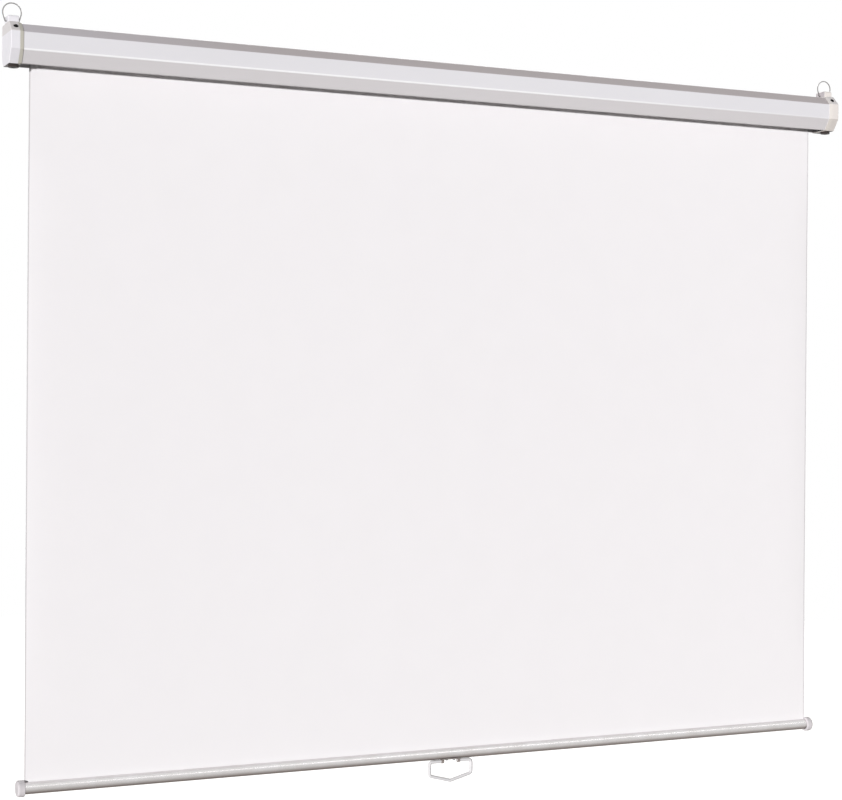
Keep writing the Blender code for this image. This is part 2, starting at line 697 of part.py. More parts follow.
def spring_seat(start, direction, angle):
    """The blind hole for one of the spring's straight ends."""
    radius = SPRING_WIRE / 2 + GAP
    depth = SPRING_LEG_SEAT + GAP
    near, far = start - direction * 0.001, start + direction * depth
    shape = turned([(near, 0), (near, radius), (far, radius), (far, 0)], SMALL_STEPS)
    y = ROLLER_Y + SPRING_RADIUS * math.cos(angle)
    z = ROLLER_Z + SPRING_RADIUS * math.sin(angle)
    return placed(shape, from_end(-1, 0, y, z))


def torsion_spring(finish, parent):
    """The spring that winds the fabric up. Its straight ends sit in the drive plug and in the anchor."""
    per_turn = 10
    seat = SPRING_LEG + GAP + SPRING_LEG_SEAT
    turns_end = SPRING_TURNS * math.tau
    lead = math.atan(SPRING_PITCH / (math.tau * SPRING_RADIUS))
    bend = []
    for step in range(BEND_STEPS + 1):
        angle = (math.pi / 2 - lead) * step / BEND_STEPS
        along, across = math.sin(angle) - 1, 1 - math.cos(angle)
        bend.append((SPRING_BEND * along, SPRING_BEND * across / SPRING_RADIUS))
    points = [(SPRING_START - seat, 0.0)] + [(SPRING_START + along, angle) for along, angle in bend]
    for step in range(1, SPRING_TURNS * per_turn):
        share = step / per_turn
        points.append((SPRING_START + share * SPRING_PITCH, share * math.tau))
    points += [(SPRING_END - along, turns_end - angle) for along, angle in reversed(bend)]
    points.append((SPRING_END + seat, turns_end))
    around = []
    for along, angle in points:
        x = -(HALF_LENGTH - along) - parent.location.x
        around.append((x, SPRING_RADIUS * math.cos(angle), SPRING_RADIUS * math.sin(angle)))
    wire("torsion_spring", around, SPRING_WIRE / 2, finish, parent, resolution=1)
    print(f"torsion_spring: least gap between turns {1000 * (SPRING_PITCH - SPRING_WIRE):.1f} mm")


def polar(radius, degrees):
    return radius * math.cos(math.radians(degrees)), radius * math.sin(math.radians(degrees))


def ratchet_collar(finish, parent):
    """The notched collar fixed on the spindle's flats. Each notch has a radial face and a ramp behind it."""
    pitch = 360 / NOTCHES
    outline = []
    arc_steps = 4
    for notch in range(NOTCHES):
        face = NOTCH_FACE_ANGLE + notch * pitch
        ramp_end = face - NOTCH_RAMP
        arc_start = face - pitch
        for step in range(arc_steps + 1):
            outline.append(polar(RATCHET_RADIUS, arc_start + (ramp_end - arc_start) * step / arc_steps))
        outline.append(polar(RATCHET_ROOT, face))
    shape = bmesh.new()
    prism(shape, outline, PAWL_START - GAP, PAWL_END)
    made = add_mesh("ratchet_collar", placed(shape, from_end(-1, 0, ROLLER_Y, ROLLER_Z)), finish, parent)
    seat = bmesh.new()
    prism(seat, flat_sided(SPINDLE_RADIUS + GAP, SPINDLE_FLAT + GAP), 0, 0.02)
    helper = add_helper("ratchet_bore", placed(seat, from_end(-1, 0, ROLLER_Y, ROLLER_Z)), parent)
    combine(made, helper)


def roller_tube(finish, parent):
    half = HALF_LENGTH - ROLLER_INSET
    inside = ROLLER_RADIUS - ROLLER_WALL
    profile = [(-half, inside), (-half, ROLLER_RADIUS), (half, ROLLER_RADIUS), (half, inside)]
    place = Matrix.Translation((0, ROLLER_Y, ROLLER_Z))
    add_mesh("roller_tube", placed(turned(profile, closed=True), place), finish, parent)


def fabric_roll(finish, parent):
    """The turns of fabric that stay on the roller when the screen is right down."""
    half = SCREEN_WIDTH / 2
    inside = ROLLER_RADIUS + GAP
    profile = [(-half, inside), (-half, ROLL_RADIUS), (half, ROLL_RADIUS), (half, inside)]
    place = Matrix.Translation((FABRIC_SHIFT, ROLLER_Y, ROLLER_Z))
    add_mesh("fabric_roll", placed(turned(profile, 40, closed=True), place), finish, parent)


def roller_plug(name, side, finish, parent):
    """A flanged plug in the end of the roller tube, with ribs on its spigot and a bore right through."""
    bore = SPINDLE_RADIUS + GAP
    spigot = ROLLER_RADIUS - ROLLER_WALL - GAP
    back = ROLLER_INSET - GAP
    profile = [(FLANGE_START, bore), (FLANGE_START, ROLLER_RADIUS), (back, ROLLER_RADIUS), (back, spigot)]
    ribs = 3
    length = (PLUG_END - back) / ribs
    for rib in range(ribs):
        start = back + rib * length
        if rib:
            profile += [(start, spigot - PLUG_RIB_DEPTH), (start, spigot)]
        profile += [(start + 0.6 * length, spigot), (start + 0.6 * length, spigot - PLUG_RIB_DEPTH)]
    profile += [(PLUG_END, spigot - PLUG_RIB_DEPTH), (PLUG_END, bore)]
    shape = placed(turned(profile, closed=True), from_end(side, 0, ROLLER_Y, ROLLER_Z))
    return add_mesh(name, shape, finish, parent)


def gudgeon_pin(finish, parent):
    """The pin in the idler plug that turns in the right bush. Its collar keeps the roller from drifting."""
    collar_end = FLANGE_START - GAP
    collar = collar_end - GUDGEON_COLLAR
    start = CAP_WALL + 2 * GAP
    radius = SPINDLE_RADIUS
    profile = [
        (start, 0), (start, 0.8 * radius), (start + 0.2 * radius, radius), (collar, radius),
        (collar, GUDGEON_COLLAR_RADIUS), (collar_end, GUDGEON_COLLAR_RADIUS), (collar_end, radius),
        (GUDGEON_REACH, radius), (GUDGEON_REACH, 0),
    ]
    shape = placed(turned(profile, SMALL_STEPS), from_end(1, 0, ROLLER_Y, ROLLER_Z))
    add_mesh("gudgeon_pin", shape, finish, parent)


def pawl_outline():
    """The pawl out of its notch as (y, z) from the roller's axis: a boss at its pin and an arm to the tip."""
    pin = Vector(polar(PAWL_PIN_ORBIT, PAWL_PIN_ANGLE))
    tip = Vector(polar(RATCHET_RADIUS + PAWL_REST_CLEAR, NOTCH_FACE_ANGLE))
    back = (pin - tip).normalized()
    outwards = Vector((back.y, -back.x))
    if outwards.dot(tip) < 0:
        outwards = -outwards
    nose = tip + outwards * PAWL_TIP_THICK + back * PAWL_TIP_LEAN
    outline = [tip, nose]
    heel = math.atan2(outwards.y, outwards.x)
    steps = 10
    for step in range(steps + 1):
        angle = heel - math.pi * step / steps
        outline.append(pin + PAWL_BOSS_RADIUS * Vector((math.cos(angle), math.sin(angle))))
    return [tuple(point) for point in reversed(outline)]


def pawl(index, finish):
    """One pawl on its own pivot. The second is the first turned half a turn about the roller's axis."""
    label = "ab"[index]
    turn = Matrix.Rotation(math.pi * index, 4, "X")
    y, z = polar(PAWL_PIN_ORBIT, PAWL_PIN_ANGLE + 180 * index)
    middle = -(HALF_LENGTH - (PAWL_START + PAWL_END) / 2)
    parent = pivot(f"pawl_{label}_pivot", (middle, ROLLER_Y + y, ROLLER_Z + z))
    axle = Matrix.Translation((-HALF_LENGTH, ROLLER_Y, ROLLER_Z))
    shape = bmesh.new()
    prism(shape, pawl_outline(), PAWL_START, PAWL_END)
    made = add_mesh(f"pawl_{label}", placed(shape, axle @ turn), finish, parent)
    radius = PAWL_PIN_RADIUS + GAP
    hole = turned([(0, 0), (0, radius), (0.03, radius), (0.03, 0)], SMALL_STEPS)
    pin_y, pin_z = polar(PAWL_PIN_ORBIT, PAWL_PIN_ANGLE)
    on_pin = axle @ turn @ Matrix.Translation((0, pin_y, pin_z))
    combine(made, add_helper(f"pawl_bore_{label}", placed(hole, on_pin), parent))
    return on_pin


def pawl_pin(index, finish, roller, plug, on_pin):
    """A headed pin in the drive plug's flange that the pawl turns on."""
    label = "ab"[index]
    head_end = PAWL_START - GAP
    head = head_end - PAWL_PIN_HEAD_THICK
    end = FLANGE_START + PAWL_PIN_SEAT
    profile = [
        (head, 0), (head, PAWL_PIN_HEAD), (head_end, PAWL_PIN_HEAD), (head_end, PAWL_PIN_RADIUS),
        (end, PAWL_PIN_RADIUS), (end, 0),
    ]
    add_mesh(f"pawl_pin_{label}", placed(turned(profile, SMALL_STEPS), on_pin), finish, roller)
    radius = PAWL_PIN_RADIUS + GAP
    start = FLANGE_START - 0.001
    hole = turned([(start, 0), (start, radius), (end + GAP, radius), (end + GAP, 0)], SMALL_STEPS)
    combine(plug, add_helper(f"pawl_pin_seat_{label}", placed(hole, on_pin), roller))


def screen_fabric(finish, parent):
    """The sheet from the back of the roll down into the bottom tube's slot."""
    left, right = FABRIC_SHIFT - SCREEN_WIDTH / 2, FABRIC_SHIFT + SCREEN_WIDTH / 2
    bottom = BAR_Z + TUBE_RADIUS - TUBE_WALL
    shape = bmesh.new()
    box(shape, (left, FABRIC_Y - FABRIC_THICK / 2, bottom), (right, FABRIC_Y + FABRIC_THICK / 2, ROLLER_Z))
    add_mesh("screen_fabric", shape, finish, parent)


def bottom_tube(finish, parent, holes):
    """The bar's tube, slotted along its top for the fabric."""
    half_slot = math.degrees(math.asin(TUBE_SLOT / 2 / TUBE_RADIUS))
    steps = 36
    outer, inner = [], []
    for step in range(steps + 1):
        angle = 90 - half_slot - (360 - 2 * half_slot) * step / steps
        y, z = polar(TUBE_RADIUS, angle)
        outer.append((FABRIC_Y + y, BAR_Z + z))
        y, z = polar(TUBE_RADIUS - TUBE_WALL, angle)
        inner.append((FABRIC_Y + y, BAR_Z + z))
    shape = bmesh.new()
    sheet_prism(shape, outer, inner, FABRIC_SHIFT - SCREEN_WIDTH / 2, FABRIC_SHIFT + SCREEN_WIDTH / 2)
    made = add_mesh("bottom_tube", shape, finish, parent)
    for hole in holes:
        combine(made, hole)


def hem_rod(finish, parent):
    """The bead along the fabric's lower edge, too thick to pass the tube's slot."""
    half = SCREEN_WIDTH / 2 - BAR_CAP_SPIGOT - GAP
    top = TUBE_RADIUS - TUBE_WALL - GAP
    radius = 0.3 * TUBE_RADIUS
    profile = [(-half, 0), (-half, radius), (half, radius), (half, 0)]
    place = Matrix.Translation((FABRIC_SHIFT, FABRIC_Y, BAR_Z + top - radius))
    add_mesh("hem_rod", placed(turned(profile, SMALL_STEPS), place), finish, parent)


def bar_cap(side, label, finish, parent):
    """A plug in the end of the tube with a rounded head a size larger than the tube."""
    spigot = TUBE_RADIUS - TUBE_WALL - GAP
    face = GAP
    end = BAR_CAP_LENGTH
    radius = BAR_CAP_RADIUS
    neck = 0.9 * radius
    inner = -BAR_CAP_SPIGOT
    profile = [(inner, 0), (inner, 0.9 * spigot), (inner + 0.1 * spigot, spigot), (face, spigot)]
    profile += [(face, neck), (face + 0.05 * radius, radius)]
    steps = 5
    for step in range(steps + 1):
        angle = math.pi / 2 * step / steps
        profile.append((end - BAR_CAP_ROUND + BAR_CAP_ROUND * math.sin(angle),
                        radius - BAR_CAP_ROUND + BAR_CAP_ROUND * math.cos(angle)))
    profile.append((end, 0))
    end_x = FABRIC_SHIFT + side * SCREEN_WIDTH / 2
    place = Matrix.Translation((end_x, FABRIC_Y, BAR_Z)) @ Matrix.Diagonal((side, 1, 1, 1))
    add_mesh(f"bar_cap_{label}", placed(turned(profile), place), finish, parent)


def handle_saddle(finish, parent):
    """A strap round the underside of the tube with two eyes below it for the handle's ends."""
    inside = TUBE_RADIUS + GAP
    outside = inside + SADDLE_THICK
    steps = 12
    outer, inner = [], []
    for step in range(steps + 1):
        angle = -90 - SADDLE_ARC + 2 * SADDLE_ARC * step / steps
        y, z = polar(outside, angle)
        outer.append((FABRIC_Y + y, BAR_Z + z))
        y, z = polar(inside, angle)
        inner.append((FABRIC_Y + y, BAR_Z + z))
    shape = bmesh.new()
    sheet_prism(shape, outer, inner, -SADDLE_HALF_WIDTH, SADDLE_HALF_WIDTH)
    made = add_mesh("handle_saddle", shape, finish, parent)
    inset = SADDLE_THICK / 5
    reach = SADDLE_HALF_WIDTH + EYE_LENGTH
    place = Matrix.Translation((0, FABRIC_Y, HANDLE_Z))
    for side, label in ((-1, "left"), (1, "right")):
        end = SADDLE_HALF_WIDTH - inset
        start = end - EYE_LENGTH
        profile = [(side * start, 0), (side * start, EYE_RADIUS), (side * end, EYE_RADIUS), (side * end, 0)]
        eye = placed(turned(profile, SMALL_STEPS), place)
        combine(made, add_helper(f"saddle_eye_{label}", eye, parent), "UNION")
    tube_room = turned([(-reach, 0), (-reach, inside), (reach, inside), (reach, 0)], 2 * ROUND_STEPS)
    room = placed(tube_room, Matrix.Translation((0, FABRIC_Y, BAR_Z)))
    combine(made, add_helper("saddle_tube_room", room, parent))
    radius = HANDLE_END_RADIUS + GAP
    bore = turned([(-reach, 0), (-reach, radius), (reach, radius), (reach, 0)], SMALL_STEPS)
    combine(made, add_helper("saddle_bore", placed(bore, place), parent))
    return made


def saddle_screws(finish, parent, saddle):
    """The two screws that hold the saddle, and the holes that they pass in the strap and the tube's wall."""
    holes = []
    for label, side in SIDES:
        down = Matrix.Rotation(math.radians(90), 4, "Y")
        axis = Matrix.Translation((side * SADDLE_SCREW_X, FABRIC_Y, BAR_Z)) @ down
        head = TUBE_RADIUS + GAP + SADDLE_THICK + GAP
        tip = TUBE_RADIUS - TUBE_WALL - 0.003
        radius = SADDLE_SCREW_RADIUS
        crown = head + SADDLE_SCREW_HEAD_HEIGHT
        rim = head + 0.6 * SADDLE_SCREW_HEAD_HEIGHT
        profile = [
            (tip, 0), (tip, 0.6 * radius), (tip + radius, radius), (head, radius), (head, SADDLE_SCREW_HEAD),
            (rim, SADDLE_SCREW_HEAD), (crown, 0.6 * SADDLE_SCREW_HEAD), (crown, 0),
        ]
        add_mesh(f"saddle_screw_{label}", placed(turned(profile, SMALL_STEPS), axis), finish, parent)
        room = radius + GAP
        near, far = TUBE_RADIUS / 2, 2 * TUBE_RADIUS
        hole = turned([(near, 0), (near, room), (far, room), (far, 0)], SMALL_STEPS)
        helper = add_helper(f"saddle_hole_{label}", placed(hole, axis), parent)
        combine(saddle, helper)
        holes.append(helper)
    return holes


def pull_handle(finish):
    """A five-sided loop of thick wire, apex down, with thinner ends turned into the saddle's eyes."""
    parent = pivot("handle_pivot", (0, FABRIC_Y, HANDLE_Z))
    shoulder = SADDLE_HALF_WIDTH + GAP
    end = SADDLE_HALF_WIDTH - EYE_LENGTH
    corners = [(-shoulder, 0), (-HANDLE_HALF_WIDTH, 0), (-HANDLE_HALF_WIDTH, -HANDLE_SIDE), (0, -HANDLE_APEX),
               (HANDLE_HALF_WIDTH, -HANDLE_SIDE), (HANDLE_HALF_WIDTH, 0), (shoulder, 0)]
    radii = [HANDLE_CORNER, HANDLE_CORNER, HANDLE_APEX_CORNER, HANDLE_CORNER, HANDLE_CORNER]
    loop = round_path(corners, radii, 5)
    step = 0.0001
    points = [(-end, 0), (-shoulder + step, 0)] + loop + [(shoulder - step, 0), (end, 0)]
    share = HANDLE_END_RADIUS / (HANDLE_WIRE / 2)
    last = len(points) - 1
    thin = {0: share, 1: share, last - 1: share, last: share}
    around = [(x, 0, z) for x, z in points]
    wire("pull_handle", around, HANDLE_WIRE / 2, finish, parent, resolution=3, thin=thin)


def build():
    clear_scene()
    paint = {name: material(name, *values) for name, values in finishes().items()}
    case = pivot("case_frame", (0, 0, 0))
    roller = pivot("roller_axis", (0, ROLLER_Y, ROLLER_Z))
    bar = pivot("bar_axis", (FABRIC_SHIFT, FABRIC_Y, BAR_Z))

    all_holes = []
    for label, side in SIDES:
        holes = screw_holes(side, label, case)
        all_holes += holes
        end_cap(side, label, paint["cap_plastic"], case, holes)
        end_plate(side, label, paint["plated_steel"], case, holes)
        cap_screws(side, label, paint["black_screw"], case)
        hang_ring(side, label, paint["bright_wire"])
    case_shell(paint["case_paint"], case, all_holes)
    screen_fabric(paint["screen_vinyl"], case)

    spindle = spring_spindle(paint["dark_steel"], case)
    spring_anchor(paint["nylon"], paint["plated_steel"], case, spindle)
    ratchet_collar(paint["dark_steel"], case)
    gudgeon_bush(paint["nylon"], case)

    roller_tube(paint["plated_steel"], roller)
    fabric_roll(paint["screen_vinyl"], roller)
    drive_plug = roller_plug("drive_plug", -1, paint["nylon"], roller)
    combine(drive_plug, add_helper("plug_leg_seat", spring_seat(PLUG_END, -1, 0.0), roller))
    roller_plug("idler_plug", 1, paint["nylon"], roller)
    gudgeon_pin(paint["plated_steel"], roller)
    torsion_spring(paint["spring_steel"], roller)
    for index in range(2):
        on_pin = pawl(index, paint["dark_steel"])
        pawl_pin(index, paint["plated_steel"], roller, drive_plug, on_pin)

    saddle = handle_saddle(paint["bar_cap_plastic"], bar)
    bottom_tube(paint["bar_metal"], bar, saddle_screws(paint["plated_steel"], bar, saddle))
    hem_rod(paint["nylon"], bar)
    for label, side in SIDES:
        bar_cap(side, label, paint["bar_cap_plastic"], bar)
    pull_handle(paint["white_plastic"])


build()
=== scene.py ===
# %% [markdown]
# # A pull down projector screen
#
# A white metal case hangs high on a wall. A spring roller inside it lets a matt white cloth down and winds
# it up again when the handle is tugged. The photograph shows the screen pulled right down and seen from the
# left, a little below the case. The CAD model already has every working piece in its place. This notebook
# gives the pieces that show a finer shape, gives every piece a surface, and sets the light and the camera.

# %% The tools and the fixed frame
import math

import bmesh
import bpy
from mathutils import Matrix, Vector


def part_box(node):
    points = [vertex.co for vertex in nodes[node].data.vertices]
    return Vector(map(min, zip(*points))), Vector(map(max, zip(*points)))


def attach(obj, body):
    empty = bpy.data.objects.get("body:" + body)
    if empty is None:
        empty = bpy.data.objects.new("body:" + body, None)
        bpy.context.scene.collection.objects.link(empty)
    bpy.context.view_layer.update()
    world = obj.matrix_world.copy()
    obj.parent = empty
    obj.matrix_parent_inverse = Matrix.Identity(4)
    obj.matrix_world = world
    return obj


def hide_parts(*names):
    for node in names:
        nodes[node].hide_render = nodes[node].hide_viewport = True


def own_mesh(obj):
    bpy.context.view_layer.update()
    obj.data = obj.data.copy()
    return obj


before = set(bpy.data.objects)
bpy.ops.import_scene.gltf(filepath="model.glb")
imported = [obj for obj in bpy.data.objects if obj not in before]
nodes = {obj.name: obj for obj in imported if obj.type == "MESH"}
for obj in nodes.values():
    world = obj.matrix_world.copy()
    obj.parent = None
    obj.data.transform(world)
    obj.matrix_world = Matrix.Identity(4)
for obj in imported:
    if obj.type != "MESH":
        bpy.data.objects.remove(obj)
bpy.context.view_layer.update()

# %% [markdown]
# ## Sizes
#
# The wall is the plane y = 0 and the screen looks towards -Y. Long sizes are read from the CAD nodes' own
# boxes, so a piece always ends where its node ends. Sizes that a box doesn't tell, such as a wall or a
# radius, are written once, in metres: the shared ones here, the others where they are first needed.

# %% Named sizes
GAP = 0.0003
CASE_HALF = 0.895
CASE_TOP = 0.035
CASE_BOTTOM = -0.035
CASE_DEPTH = 0.070
TOP_CHAMFER = 0.0165
FRONT_FACET = 0.0305
LOWER_SETBACK = 0.016
REAR_SETBACK = 0.0095
REAR_CHAMFER = 0.018
SHEET = 0.0009
FOLD_RADIUS = 0.0022
SLOT_FRONT, SLOT_REAR = 0.0315, 0.0030
LIP_HEIGHT = 0.006

CAP_WIDTH = 0.0227
CAP_RIM = 0.0068
CAP_WALL = 0.003
CAP_EDGE = 0.0012
CAP_CORNER = 0.0026
PROUD_TOP, PROUD_FRONT, PROUD_BELOW = 0.0030, 0.0020, 0.0015
CHAMFER_Z = CASE_TOP - TOP_CHAMFER
FOLD_Z = CHAMFER_Z - FRONT_FACET
RIM_WALL = 0.0006
LUG_WIDTH, LUG_DEPTH, LUG_Y, LUG_INSET = 0.0195, 0.030, -0.033, 0.0003
LUG_TOP = CASE_TOP + PROUD_TOP + 0.0125
LUG_CORNER = 0.004
BOSS_RADIUS, BOSS_HEIGHT, BOSS_Y = 0.0100, 0.0050, -0.040

cloth_low, cloth_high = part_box("screen_fabric")
CLOTH_Y = (cloth_low.y + cloth_high.y) / 2
CLOTH_MIDDLE = (cloth_low.x + cloth_high.x) / 2
CLOTH_HALF = (cloth_high.x - cloth_low.x) / 2
tube_low, tube_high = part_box("bottom_tube")
TUBE_RADIUS = 0.0110
TUBE_WALL = 0.0012
TUBE_SLOT = 0.0024
STRAP_SCREW_X, STRAP_HOLE_RADIUS, STRAP_HEAD_RADIUS = 0.0080, 0.0017, 0.0028
TUBE_Z = tube_low.z + TUBE_RADIUS
BAR_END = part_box("bar_cap_right")[1].x
SIDES = (("left", -1), ("right", 1))
print(f"cloth {2 * CLOTH_HALF:.3f} m wide, bar at z = {TUBE_Z:.4f}")

# %% [markdown]
# ## The camera
#
# The four corners of the cloth and the ends of the case fit one camera: 3.7 m away, turned 25 degrees from
# straight on, level, and rolled by two fifths of a degree. Its axes are written as a matrix, because the roll
# is easier to see there than in three Euler angles. The lens follows from the picture's width.


# %% Camera at the photograph's place
def linked(name, data):
    """A new object, linked to the scene."""
    made = bpy.data.objects.new(name, data)
    bpy.context.scene.collection.objects.link(made)
    return made


PICTURE_WIDTH = 842
FOCAL_PIXELS = 1858.56
yaw, pitch, roll = (math.radians(angle) for angle in (25.085, -0.062, 0.418))
ahead = Vector((math.sin(yaw) * math.cos(pitch), math.cos(yaw) * math.cos(pitch), math.sin(pitch)))
level = Vector((math.cos(yaw), -math.sin(yaw), 0))
above = level.cross(ahead)
camera_right = level * math.cos(roll) + above * math.sin(roll)
camera_up = above * math.cos(roll) - level * math.sin(roll)

lens = bpy.data.cameras.new("photo_camera")
lens.sensor_width = 36
lens.lens = FOCAL_PIXELS / PICTURE_WIDTH * lens.sensor_width
lens.clip_end = 60
camera = linked("photo_camera", lens)
turn = Matrix((camera_right, camera_up, -ahead)).transposed().to_4x4()
camera.matrix_world = Matrix.Translation((-1.6216, -3.3300, -0.6213)) @ turn
bpy.context.scene.camera = camera
print(f"lens {lens.lens:.1f} mm")

# %% [markdown]
# ## Finishes
#
# Nothing here is a flat colour. A painted sheet has a fine orange-peel ripple, moulded plastic has a
# spark-eroded grain, an extruded tube has lines along its length, and cloth has a weave. Each finish starts
# from one Principled shader and adds noise that reads the piece's own Object coordinates, so the grain
# keeps its real size on every piece.


# %% Helpers for finishes
def plain(red, green, blue):
    """A colour given as 0 to 255 on a screen, as the linear light that shaders use."""
    shares = [value / 255 for value in (red, green, blue)]
    return [s / 12.92 if s <= 0.04045 else ((s + 0.055) / 1.055) ** 2.4 for s in shares] + [1.0]


def start_finish(name, colour, roughness, metallic=0.0):
    """A named material, its node tree and its Principled shader."""
    made = bpy.data.materials.new(name)
    made.use_nodes = True
    tree = made.node_tree
    shader = tree.nodes["Principled BSDF"]
    shader.inputs["Base Color"].default_value = colour
    shader.inputs["Roughness"].default_value = roughness
    shader.inputs["Metallic"].default_value = metallic
    made.diffuse_color = colour
    return made, tree, shader


def connect(tree, *pairs):
    """Links the output to the input of each pair."""
    for output, socket in pairs:
        tree.links.new(output, socket)


def reopened(made):
    """A finish's tree, its shader and the output that colours it so far, for tones that go over it."""
    tree = made.node_tree
    shader = tree.nodes["Principled BSDF"]
    return tree, shader, shader.inputs["Base Color"].links[0].from_socket


def place_noise(tree, scale, stretch=(1, 1, 1), detail=3.0):
    """Noise on Object coordinates; stretch squeezes it along each axis."""
    where = tree.nodes.new("ShaderNodeTexCoord")
    mapping = tree.nodes.new("ShaderNodeMapping")
    mapping.inputs["Scale"].default_value = stretch
    noise = tree.nodes.new("ShaderNodeTexNoise")
    noise.inputs["Scale"].default_value = scale
    noise.inputs["Detail"].default_value = detail
    connect(tree, (where.outputs["Object"], mapping.inputs["Vector"]),
            (mapping.outputs["Vector"], noise.inputs["Vector"]))
    return noise.outputs["Fac"]


def mixed(tree, value, first, second):
    """A colour between two others, each a plain colour or a node's output."""
    mix = tree.nodes.new("ShaderNodeMix")
    mix.data_type = "RGBA"
    for socket, colour in ((mix.inputs["A"], first), (mix.inputs["B"], second)):
        if isinstance(colour, list):
            socket.default_value = colour
        else:
            tree.links.new(colour, socket)
    tree.links.new(value, mix.inputs["Factor"])
    return mix.outputs["Result"]


def two_colours(tree, shader, value, first, second):
    """The base colour goes from the first to the second with the value."""
    tree.links.new(mixed(tree, value, first, second), shader.inputs["Base Color"])


def object_axes(tree):
    """The X, Y and Z outputs of the piece's own Object coordinates."""
    where = tree.nodes.new("ShaderNodeTexCoord")
    axes = tree.nodes.new("ShaderNodeSeparateXYZ")
    tree.links.new(where.outputs["Object"], axes.inputs["Vector"])
    return axes.outputs


def math_node(tree, operation, first, second=None):
    node = tree.nodes.new("ShaderNodeMath")
    node.operation = operation
    for socket, value in zip(node.inputs, (first, second)):
        if isinstance(value, (int, float)):
            socket.default_value = value
        elif value is not None:
            tree.links.new(value, socket)
    return node.outputs[0]


def ramp(tree, value, start, end, low=0.0, high=1.0):
    """The value's way from start to end as low to high, held beyond both."""
    remap = tree.nodes.new("ShaderNodeMapRange")
    for socket, number in (("From Min", start), ("From Max", end), ("To Min", low), ("To Max", high)):
        remap.inputs[socket].default_value = number
    tree.links.new(value, remap.inputs["Value"])
    return remap.outputs["Result"]


def spread(tree, value, low, high):
    """The middle of a noise stretched over low to high."""
    return ramp(tree, value, 0.3, 0.7, low, high)


def raise_grain(tree, shader, value, depth, under=None):
    """A bump of that depth in metres, on top of another one if under is given."""
    bump = tree.nodes.new("ShaderNodeBump")
    bump.inputs["Distance"].default_value = depth
    bump.inputs["Strength"].default_value = 1.0
    tree.links.new(value, bump.inputs["Height"])
    if under:
        tree.links.new(under, bump.inputs["Normal"])
    tree.links.new(bump.outputs["Normal"], shader.inputs["Normal"])
    return bump.outputs["Normal"]


# %% [markdown]
# ### White paint on steel
#
# The case is roll-formed from pre-painted sheet. Baked enamel is smooth but not flat: its skin ripples over
# a few millimetres, and the sheet itself waves a little over a hand's width. The sheen is that of eggshell.
# Its tones are fitted to the picture: a painted highlight along the fold under the front, which fades to the
# right, painted shade on the lower facet, and painted shade on a darker top chamfer. Each is drawn by its
# place on the section.


# %% Paint
def white_paint():
    made, tree, shader = start_finish("case_paint", plain(226, 225, 228), 0.42)
    shader.inputs["Specular IOR Level"].default_value = 0.2
    axes = object_axes(tree)
    from_front = math_node(tree, "ADD", axes["Y"], CASE_DEPTH)
    from_fold = math_node(tree, "ADD", axes["Z"], -FOLD_Z)
    squares = [math_node(tree, "POWER", value, 2.0) for value in (from_front, from_fold)]
    away = math_node(tree, "SQRT", math_node(tree, "ADD", *squares))
    # A painted highlight: a bright line along the fold under the front, fading towards the right.
    line = math_node(tree, "MULTIPLY", ramp(tree, away, 0.0009, 0.0024, 1.0, 0.0),
                     ramp(tree, axes["X"], 0.2, 0.8, 1.0, 0.25))
    tone = spread(tree, place_noise(tree, 9.0, (0.3, 1, 1)), 0.0, 1.0)
    coat = mixed(tree, tone, plain(225, 224, 227), plain(228, 227, 230))
    # Painted shade: the lower facet, below the fold, is a shade darker.
    coat = mixed(tree, ramp(tree, axes["Z"], FOLD_Z, FOLD_Z - 0.0010), coat, plain(219, 216, 217))
    coat = mixed(tree, line, coat, plain(252, 252, 253))
    # Painted shade: the top chamfer is darker, and more so and warmer towards the right.
    chamfer = mixed(tree, ramp(tree, axes["X"], -0.9, -0.4), plain(201, 197, 201), plain(188, 181, 181))
    above_front = ramp(tree, axes["Z"], CHAMFER_Z - 0.0004, CHAMFER_Z + 0.0008)
    two_colours(tree, shader, above_front, coat, chamfer)
    sheen = spread(tree, place_noise(tree, 60.0), 0.38, 0.48)
    tree.links.new(sheen, shader.inputs["Roughness"])
    wave = raise_grain(tree, shader, place_noise(tree, 7.0, (0.35, 1, 1), 1.0), 0.0004)
    raise_grain(tree, shader, place_noise(tree, 420.0), 0.00002, wave)
    return made


paint = white_paint()
print("made", paint.name)

# %% [markdown]
# ### Moulded plastics
#
# The end caps, the bar caps, the handle and the nylon pieces inside come from a mould whose steel was left
# with a fine grain. One maker serves them all: the colour, the sheen and the size of the grain differ.


# %% Plastics
def moulded(name, colour, second, roughness, grain=1500.0, depth=0.000012, shine=0.3):
    made, tree, shader = start_finish(name, colour, roughness)
    shader.inputs["Specular IOR Level"].default_value = shine
    two_colours(tree, shader, spread(tree, place_noise(tree, 35.0), 0.0, 1.0), colour, second)
    sheen = spread(tree, place_noise(tree, 180.0), roughness - 0.05, roughness + 0.06)
    tree.links.new(sheen, shader.inputs["Roughness"])
    flow = raise_grain(tree, shader, place_noise(tree, 45.0, detail=1.0), 0.00005)
    raise_grain(tree, shader, place_noise(tree, grain), depth, flow)
    return made


